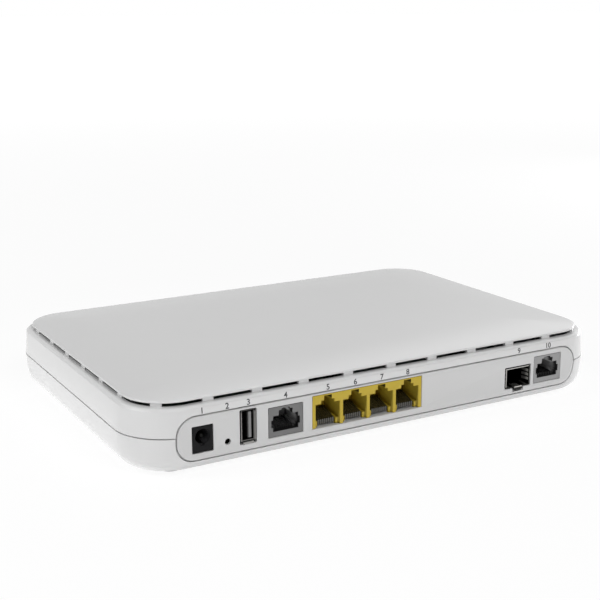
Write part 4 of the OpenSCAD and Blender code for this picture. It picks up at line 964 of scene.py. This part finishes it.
class TERMINAL_OT_panel(bpy.types.Operator):
    """Build the port panel with its raised border and its windows"""
    bl_idname = "terminal.panel"
    bl_label = "Port panel"

    def rings(self, shape, face, back):
        """Rings of the panel's skin, from inside its raised border out to its hidden flange."""
        plan = Plan(shape)
        low, high = panel_box(shape)
        width = high.x - low.x
        tall = high.z - low.z
        centre = (0.0, (low.z + high.z) / 2)
        flange_front = back - 1.0 * MM
        # How far the border stays behind the wall's face, and how wide its slope is.
        sink = 0.1 * MM
        step = 0.5 * MM
        lip = shape.panel_gap - 0.05 * MM
        edge = shape.edge
        groove = shape.panel_groove
        # Rows of growth, share of the border's rise and depth. The flange has no share.
        slope = ((-1.0, 0.0), (0.0, 0.12), (0.5, 0.5), (1.0, 0.88), (1.4, 1.0))
        rows = [(-shape.panel_border + shift * step, share, 0.0) for shift, share in slope]
        rows += [(-edge, 1.0, 0.0), (-0.3 * edge, 1.0, 0.3 * edge), (0.0, 1.0, edge), (0.0, 1.0, groove),
                 (lip, 1.0, groove), (lip, None, 0.0), (PANEL_FLANGE, None, 0.0)]
        rings = []
        for grow, share, depth in rows:
            ring = []
            for x, z in outline(width + 2 * grow, tall + 2 * grow, shape.panel_radius + grow, centre, 14):
                y = flange_front
                if share is not None:
                    border = plan.rear(x, wall_inset(shape, z)) + sink
                    y = face + (border - face) * share + depth
                ring.append((x, y, z))
            rings.append(ring)
        rings.append([(x, back, z) for x, _, z in rings[-1]])
        return rings

    def window_cutters(self, face, back):
        """Cutters of the windows, with rounded mouths."""
        ease = 0.2 * MM
        rows = [(ease, face - PAST)]
        rows += [(grow, face + depth) for grow, depth in eased_mouth(ease, 3)]
        rows.append((0, back + PAST))
        cutter = bmesh.new()
        for middle, wide, bottom, top, radius in windows():
            tall = top - bottom
            centre = (middle, (bottom + top) / 2)
            loft([upright(outline(wide + 2 * grow, tall + 2 * grow, radius + grow, centre, 5), y)
                  for grow, y in rows], cutter)
        return cutter

    def notch_cutter(self, front, face, back):
        """Cutter of the notch that the latch of the optical cage bends down into, with a sloping floor."""
        middle = face_middle(*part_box("sfp_cage"))[0]
        wide = 6.4 * MM
        radius = 0.4 * MM
        rise = 1.2 * MM
        deep = 2.3 * MM
        shallow = 1.2 * MM
        slope_end = face + 1.6 * MM
        rings = []
        for y, drop in ((front - PAST, deep), (face, deep), (slope_end, shallow), (back + PAST, shallow)):
            centre = (middle, BOARD_TOP + rise - drop / 2)
            rings.append(upright(outline(wide, 2 * rise + drop, radius, centre, 5), y))
        return loft(rings)

    def execute(self, context):
        shape = context.scene.terminal_shape
        finish = context.scene.terminal_finish
        low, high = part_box("port_panel")
        front = low.y
        back = high.y
        face = front + 0.4 * MM
        # Moulded ABS: a white a shade greyer than the shells, with a satin face.
        satin = plastic("Panel ABS", finish.panel, roughness=0.3)
        skin = tidy(loft(self.rings(shape, face, back)))
        made = piece("port_panel_skin", skin, "case", satin, ("port_panel",))
        cut(made, self.window_cutters(face, back))
        cut(made, self.notch_cutter(front, face, back))
        # Behind the reset pinhole and the USB window, the panel is hollowed to a thin face.
        hollow = face + 1.2 * MM
        for node, spread in (("reset_plunger", 3.0 * MM), ("usb_shell", 1.5 * MM)):
            low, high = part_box(node)
            middle = (low + high) / 2
            ring = outline(high.x - low.x + 2 * spread, high.z - low.z + 2 * spread, 0.5 * MM,
                           (middle.x, middle.z), 4)
            cut(made, along_y(ring, hollow, back + PAST))
        crease(made)
        return {"FINISHED"}


class TERMINAL_OT_ports(bpy.types.Operator):
    """Round the edges of the sockets and give them their plastics and metals"""
    bl_idname = "terminal.ports"
    bl_label = "Ports"

    def power_inlet(self, finish):
        """Make the power inlet."""
        # Moulded nylon: black and dull, with painted light that makes it paler down the bore.
        painted_bore_light = behind((0.3, 1.0, 3.0))
        nylon = plastic("Inlet nylon", finish.black, roughness=0.5, sheen=0.06, stages=painted_bore_light)
        eased_piece("dc_jack_body", 0.2 * MM, "case", nylon)

    def usb_lip(self, material):
        """Make the flared lip of the USB shell, which is slit at its four corners."""
        low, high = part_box("usb_shell")
        width = high.x - low.x
        tall = high.z - low.z
        centre = face_middle(low, high)
        sheet = 0.3 * MM
        flare = (0.55 * MM, 0.45 * MM)
        # Share of the flare, part of the sheet's thickness and depth of each line round the lip.
        lines = ((0.0, sheet, USB_LIP), (0.5, sheet, 0.4 * MM), (1.0, sheet / 2, 0.0),
                 (1.0, 0.0, 0.15 * MM), (0.5, 0.0, 0.6 * MM), (0.0, 0.0, 1.25 * MM))
        rings = []
        for share, inner, depth in lines:
            grow = [reach * share - inner for reach in flare]
            ring = outline(width + 2 * grow[0], tall + 2 * grow[1], 0.7 * MM, centre, 4)
            rings.append(upright(ring, low.y + depth))
        made = piece("usb_lip", tidy(loft(rings, hoop=True)), "case", material)
        slit = (1.3 * MM, 1.4 * MM)
        shift = 0.2 * MM
        slits = bmesh.new()
        for side in (-1, 1):
            for end in (-1, 1):
                corner = (centre[0] + side * (width / 2 + shift), centre[1] + end * tall / 2)
                along_y(outline(*slit, 0.1 * MM, corner, 2), low.y - PAST, low.y + 2 * MM, slits)
        cut(made, slits)
        crease(made, 40)

    def usb_socket(self, finish):
        """Make the USB shell with its lip, and the tongue in it."""
        low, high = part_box("usb_shell")
        middle = face_middle(low, high)
        # Plated steel: mid grey and streaked, with painted highlights along three of its edges and painted
        # shade inside.
        edges = [("X", low.x + 0.3 * MM, low.x - 0.1 * MM, 2.8, False),
                 ("Z", low.z + 0.3 * MM, low.z, 2.2, False),
                 ("X", high.x - 0.3 * MM, high.x, 1.4, False)]
        stages = behind((0.9, 1.6, 0.1)) + edges
        steel = metal("USB steel", finish.steel, roughness=0.4, stages=stages)
        shell = eased_piece("usb_shell", 0.08 * MM, "case", steel)
        trim = outline(high.x - low.x + 2 * PAST, high.z - low.z + 2 * PAST, 0.1 * MM, middle, 2)
        cut(shell, along_y(trim, low.y - PAST, low.y + USB_LIP))
        self.usb_lip(steel)
        # Moulded nylon, black in fact: a dull grey end face whose grey is painted light, with painted shade
        # on one side of the face and on its sides.
        shift = 0.75 * MM
        half = 0.925 * MM
        edge = middle[0] + shift - half
        # A stage of painted shade over one side of the end face.
        bevel = [("X", edge + 0.7 * MM, edge + 0.4 * MM, 0.12, False)]
        stages = behind((1.05, 1.6, 0.08)) + bevel
        nylon = plastic("Tongue nylon in painted light", finish.tongue, roughness=0.5, sheen=0.2, stages=stages)
        eased_piece("usb_insulator", 0.1 * MM, "case", nylon)

    def single_sockets(self, finish):
        """Make the console socket and the wide area socket."""
        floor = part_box("console_jack_comb")[0].z
        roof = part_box("console_jack_housing")[1].z - 0.9 * MM
        # Painted shade by height: darker near the floor, in the lower half and under the roof.
        painted_height_shade = [("Z", floor + 0.6 * MM, floor + 0.1 * MM, 0.35, True),
               ("Z", roof - 4.0 * MM, roof - 5.2 * MM, 0.5, True),
               ("Z", roof - 2.0 * MM, roof - 1.4 * MM, 0.1, True)]
        # Moulded PBT: an even satin grey. Painted shade gives a dark line inside the mouth and a darker end
        # wall, roof and lower half, and painted light gives paler walls further in.
        rows = (("console_jack_housing", "dark_grey_pbt", "Dark grey PBT", finish.dark_grey, 0.2,
                 (0.06, 70, 0.4)),
                ("wan_jack_housing", "light_grey_pbt", "Light grey PBT", finish.light_grey, 0.3,
                 (0.05, 48, 0.2)))
        for node, slot, name, shade, sheen, (mouth, walls, end) in rows:
            stages = behind((0.1, 0.4, mouth), (1.5, 5.0, walls), (11.0, 12.9, end)) + painted_height_shade
            pbt = plastic(name, shade, roughness=0.5, sheen=sheen, stages=stages)
            eased_piece(node, JACK_EDGE, "case", pbt)

    def socket_block(self, finish):
        """Make the block of four sockets, with its floor cut away under the combs."""
        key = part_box("lan_jack_block")[1].z - 0.6 * MM
        roof = [("Z", key - 1.7 * MM, key - 1.2 * MM, 0.12, True)]
        # Moulded PBT: a satin mustard yellow. Painted shade makes it deeper just inside the mouths and
        # nearly black under their roofs, and painted light lifts it again further in.
        stages = behind((0.1, 0.7, 0.6), (1, 9, 1.5), spares=True) + roof
        pbt = plastic("Yellow PBT", finish.yellow, roughness=0.5, sheen=0.3, stages=stages)
        block = eased_piece("lan_jack_block", JACK_EDGE, "case", pbt)
        deep = 2 * MM
        far = 4 * MM
        for low, high in islands("lan_jack_combs"):
            ring = outline(high.x - low.x, deep, 0.1 * MM, ((low.x + high.x) / 2, low.z - deep / 2), 2)
            cut(block, along_y(ring, SOCKET_FRONT - PAST, low.y + far))

    def module_cage(self, finish):
        """Make the optical module cage and its latch."""
        low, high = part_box("sfp_cage")
        floor = low.z
        # Plated sheet: pale nickel round the mouth, with painted shade inside, on its right wall and on its
        # floor.
        walls = [("X", high.x - 0.8 * MM, high.x - 0.6 * MM, 0.08, False),
                 ("Z", floor + 0.7 * MM, floor + 0.5 * MM, 0.08, False)]
        stages = behind((0.1, 0.6, 0.15)) + walls
        sheet = metal("Cage nickel", finish.cage, roughness=0.3, stages=stages)
        eased_piece("sfp_cage", 0.05 * MM, "case", sheet)
        # Plated spring sheet: bright nickel above, with painted shadow below.
        shadow = [("Z", floor + 0.35 * MM, floor - 0.2 * MM, 0.05, False)]
        spring = metal("Latch nickel", finish.nickel, roughness=0.35, stages=shadow)
        latch = eased_piece("sfp_latch", 0.05 * MM, "latch_tongue", spring)
        middle = (low.x + high.x) / 2
        lip = 4.5 * MM
        spare = 2 * MM
        for side in (-1, 1):
            ring = outline(spare, 4 * MM, 0.1 * MM, (middle + side * (lip + spare) / 2, floor), 2)
            cut(latch, along_y(ring, SOCKET_FRONT - spare, SOCKET_FRONT + 5 * MM))

    def execute(self, context):
        finish = context.scene.terminal_finish
        self.power_inlet(finish)
        self.usb_socket(finish)
        self.single_sockets(finish)
        self.socket_block(finish)
        self.module_cage(finish)
        return {"FINISHED"}


class TERMINAL_OT_numbers(bpy.types.Operator):
    """Print plain numbers on the rear wall above the ports"""
    bl_idname = "terminal.numbers"
    bl_label = "Port numbers"

    def execute(self, context):
        shape = context.scene.terminal_shape
        finish = context.scene.terminal_finish
        plan = Plan(shape)
        # Pad-printed ink: a matt, nearly black film.
        ink = plastic("Printing ink", finish.print_ink, roughness=0.6)
        film = 0.01 * MM
        bolder = 0.06 * MM
        height = 27.1 * MM
        lean = math.atan(shape.rim_lean / (shape.rim_height - shape.parting_height))
        singles = ("dc_jack_body", "reset_plunger", "usb_shell", "console_jack_housing")
        boxes = [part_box(node) for node in singles] + islands("lan_jack_combs")
        boxes += [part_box(node) for node in ("sfp_cage", "wan_jack_housing")]
        for number, box in enumerate(boxes, 1):
            x = face_middle(*box)[0]
            curve = bpy.data.curves.new("number", "FONT")
            curve.body = str(number)
            curve.size = shape.number_height
            curve.align_x = "CENTER"
            curve.align_y = "CENTER"
            curve.extrude = film
            curve.offset = bolder
            source = bpy.data.objects.new("number", curve)
            context.scene.collection.objects.link(source)
            context.view_layer.update()
            mesh = bpy.data.meshes.new_from_object(source.evaluated_get(context.evaluated_depsgraph_get()))
            y = plan.rear(x, wall_inset(shape, height)) - film
            mesh.transform(Matrix.Translation((x, y, height)) @ Matrix.Rotation(math.pi / 2 - lean, 4, "X"))
            mark = bmesh.new()
            mark.from_mesh(mesh)
            bpy.data.objects.remove(source)
            bpy.data.curves.remove(curve)
            bpy.data.meshes.remove(mesh)
            piece(f"port_number_{number}", mark, "case", ink)
        return {"FINISHED"}


class TERMINAL_OT_dome(bpy.types.Operator):
    """Build the snap dome of the reset switch"""
    bl_idname = "terminal.dome"
    bl_label = "Snap dome"

    def execute(self, context):
        finish = context.scene.terminal_finish
        low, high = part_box("reset_dome")
        middle = (low + high) / 2
        rim = (high.x - low.x) / 2
        rise = high.y - low.y
        ball = (rim ** 2 + rise ** 2) / (2 * rise)
        sheet = 0.12 * MM
        steps = 6
        outer = [math.asin(rim / ball) * step / steps for step in range(1, steps + 1)]
        inner = [math.acos(1 - (rise - sheet) / ball) * step / steps for step in range(steps, 0, -1)]
        rings = []
        for turn, back in [(turn, 0.0) for turn in outer] + [(turn, sheet) for turn in inner]:
            y = low.y + ball * (1 - math.cos(turn)) + back
            rings.append(upright(circle((middle.x, middle.z), ball * math.sin(turn)), y))
        made = piece("reset_dome_skin", tidy(loft(rings)), "case", nickel_plate(finish),
                     ("reset_dome",))
        crease(made, 40)
        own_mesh(made)
        return {"FINISHED"}


class TERMINAL_OT_inner(bpy.types.Operator):
    """Give the feet, the screws, the contacts, the board and the other inner parts their materials"""
    bl_idname = "terminal.inner"
    bl_label = "Inner parts"

    def socket_finishes(self, finish):
        """Materials of the parts that show inside the ports."""
        # Plated bronze strip: silvery and streaked, its grey darkened as painted shade, and darker with
        # depth, also painted shade.
        painted_depth_shade = behind((2.2, 3.0, 0.6), (3, 10, 0.7))
        bronze = metal("Contact bronze", finish.contact, roughness=0.3, stages=painted_depth_shade)
        # The same strip, with painted shade where it stands back in a mouth.
        shaded_bronze = metal("Bronze in painted shade", finish.contact, roughness=0.4, stages=behind((0.0, 1.5, 0.06)))
        # Plated spring sheet: pale and nearly matt, with painted shade along three edges and deeper in.
        low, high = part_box("sfp_cage")
        edges = [("X", low.x + 0.2 * MM, low.x, 0.15, False),
                 ("Z", high.z - 0.2 * MM, high.z, 0.15, False),
                 ("Z", low.z + 1.6 * MM, low.z + 1.1 * MM, 0.15, False)]
        stages = edges + behind((0.8, 3.0, 0.25))
        fingers = metal("Finger nickel", linear("#B4B3AF"), roughness=0.85, stages=stages)
        # Plated nickel pin, painted almost black as shade in the bore, with a soft glint.
        pin = metal("Nickel in painted shade", linear("#1E1E1D"), roughness=0.5)
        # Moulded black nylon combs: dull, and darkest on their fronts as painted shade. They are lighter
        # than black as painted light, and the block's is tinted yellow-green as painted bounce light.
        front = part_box("lan_jack_combs")[0].y
        shadow = [("Y", front + 0.8 * MM, front + 0.1 * MM, 0.15, False)]
        yellow_bounce_comb = plastic("Comb nylon in painted yellow bounce", linear("#4C4526"), roughness=0.5, sheen=0.2, stages=shadow)
        grey = plastic("Dark nylon", linear("#5A5A5A"), roughness=0.5, sheen=0.2, stages=shadow)
        pale = plastic("Comb nylon in painted light", linear("#9A9A9A"), roughness=0.5, sheen=0.2, stages=shadow)
        # Moulded nylon plunger: ivory, with painted shade where it stands back in the pinhole.
        painted_pinhole_shade = behind((0.0, 0.5, 0.04))
        ivory = plastic("Ivory nylon", finish.ivory, roughness=0.4, sheen=0.1, stages=painted_pinhole_shade)
        return {
            "reset_plunger": ivory,
            "console_jack_comb": grey, "wan_jack_comb": pale, "lan_jack_combs": yellow_bounce_comb,
            "dc_jack_pin": pin, "sfp_spring_fingers": fingers,
            "dc_jack_spring": shaded_bronze, "usb_contacts": shaded_bronze, "console_jack_contacts": shaded_bronze,
            "lan_jack_contacts": bronze, "wan_jack_contacts": shaded_bronze,
        }

    def board_finishes(self, finish):
        """Materials of the feet, the screws, the board and what stands on it."""
        # Moulded nylon: black and dull.
        black = plastic("Black nylon", finish.black, roughness=0.5, sheen=0.06)
        # Moulded rubber: a pale, matt grey.
        rubber = plastic("Foot rubber", finish.rubber, roughness=0.7)
        # Plated steel: clean, cool grey metal.
        steel = metal("Plated steel", linear("#B9BABC"), roughness=0.35)
        # Moulded epoxy of the chips: a charcoal black with a faint grain.
        epoxy = plastic("Black epoxy", linear("#202022"), roughness=0.5)
        # Cast silicone pad: a soft blue-grey without shine.
        silicone = plastic("Thermal silicone", linear("#7F8FA6"), roughness=0.6)
        # Extruded aluminium: pale metal with lines along its fins.
        extruded = metal("Extruded aluminium", linear("#C6C8CB"), roughness=0.4)
        # Pressed ferrite: a dark, matt grey.
        ferrite = plastic("Ferrite", linear("#3A3A3C"), roughness=0.6)
        # Drawn aluminium cans: bright metal.
        drawn = metal("Drawn aluminium", linear("#BFC0C2"), roughness=0.3)
        # Clear epoxy over the lights' phosphor: a warm, glossy cream.
        cream = plastic("LED epoxy", linear("#E8E6D8"), roughness=0.3)
        return {
            "rubber_feet": rubber, "case_screws": steel, "board_screws": steel,
            "main_board": solder_mask(finish.board),
            "reset_switch_body": black, "sfp_host_connector": black,
            "processor_chip": epoxy, "memory_chips": epoxy, "flash_chip": epoxy, "switch_chip": epoxy,
            "line_transformers": epoxy, "thermal_pad": silicone, "heat_sink": extruded,
            "power_inductors": ferrite, "electrolytic_capacitors": drawn, "crystals": nickel_plate(finish),
            "status_leds": cream, "light_guide": clear_acrylic(),
        }

    def execute(self, context):
        finish = context.scene.terminal_finish
        finishes = {**self.socket_finishes(finish), **self.board_finishes(finish)}
        for node, material in finishes.items():
            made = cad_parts[node]
            if not made.material_slots:
                made.data.materials.append(material)
            for holder in made.material_slots:
                holder.material = material
        return {"FINISHED"}


class TERMINAL_PT_sidebar(bpy.types.Panel):
    """Sizes, colours and build steps of the terminal"""
    bl_idname = "TERMINAL_PT_sidebar"
    bl_label = "Network terminal"
    bl_space_type = "VIEW_3D"
    bl_region_type = "UI"
    bl_category = "Terminal"

    def draw(self, context):
        for place in GROUPS:
            group = getattr(context.scene, place)
            box = self.layout.box()
            for name in group.__annotations__:
                box.prop(group, name)
        for step in STEPS:
            self.layout.operator(step.bl_idname)


GROUPS = {"terminal_shape": TerminalShape, "terminal_finish": TerminalFinish,
          "terminal_stage": TerminalStage}
STEPS = (TERMINAL_OT_stage, TERMINAL_OT_cover, TERMINAL_OT_base, TERMINAL_OT_panel, TERMINAL_OT_ports,
         TERMINAL_OT_numbers, TERMINAL_OT_dome, TERMINAL_OT_inner)
CLASSES = (*GROUPS.values(), *STEPS, TERMINAL_PT_sidebar)


def register():
    """Register the classes and hang the property groups on the scene."""
    for kind in CLASSES:
        bpy.utils.register_class(kind)
    for name, group in GROUPS.items():
        setattr(bpy.types.Scene, name, PointerProperty(type=group))


def unregister():
    """Undo what register does."""
    for name in GROUPS:
        delattr(bpy.types.Scene, name)
    for kind in reversed(CLASSES):
        bpy.utils.unregister_class(kind)


def main():
    """Build the terminal step by step."""
    register()
    bpy.ops.terminal.stage()
    bpy.ops.terminal.cover()
    bpy.ops.terminal.base()
    bpy.ops.terminal.panel()
    bpy.ops.terminal.ports()
    bpy.ops.terminal.numbers()
    bpy.ops.terminal.dome()
    bpy.ops.terminal.inner()


if __name__ == "__main__":
    main()
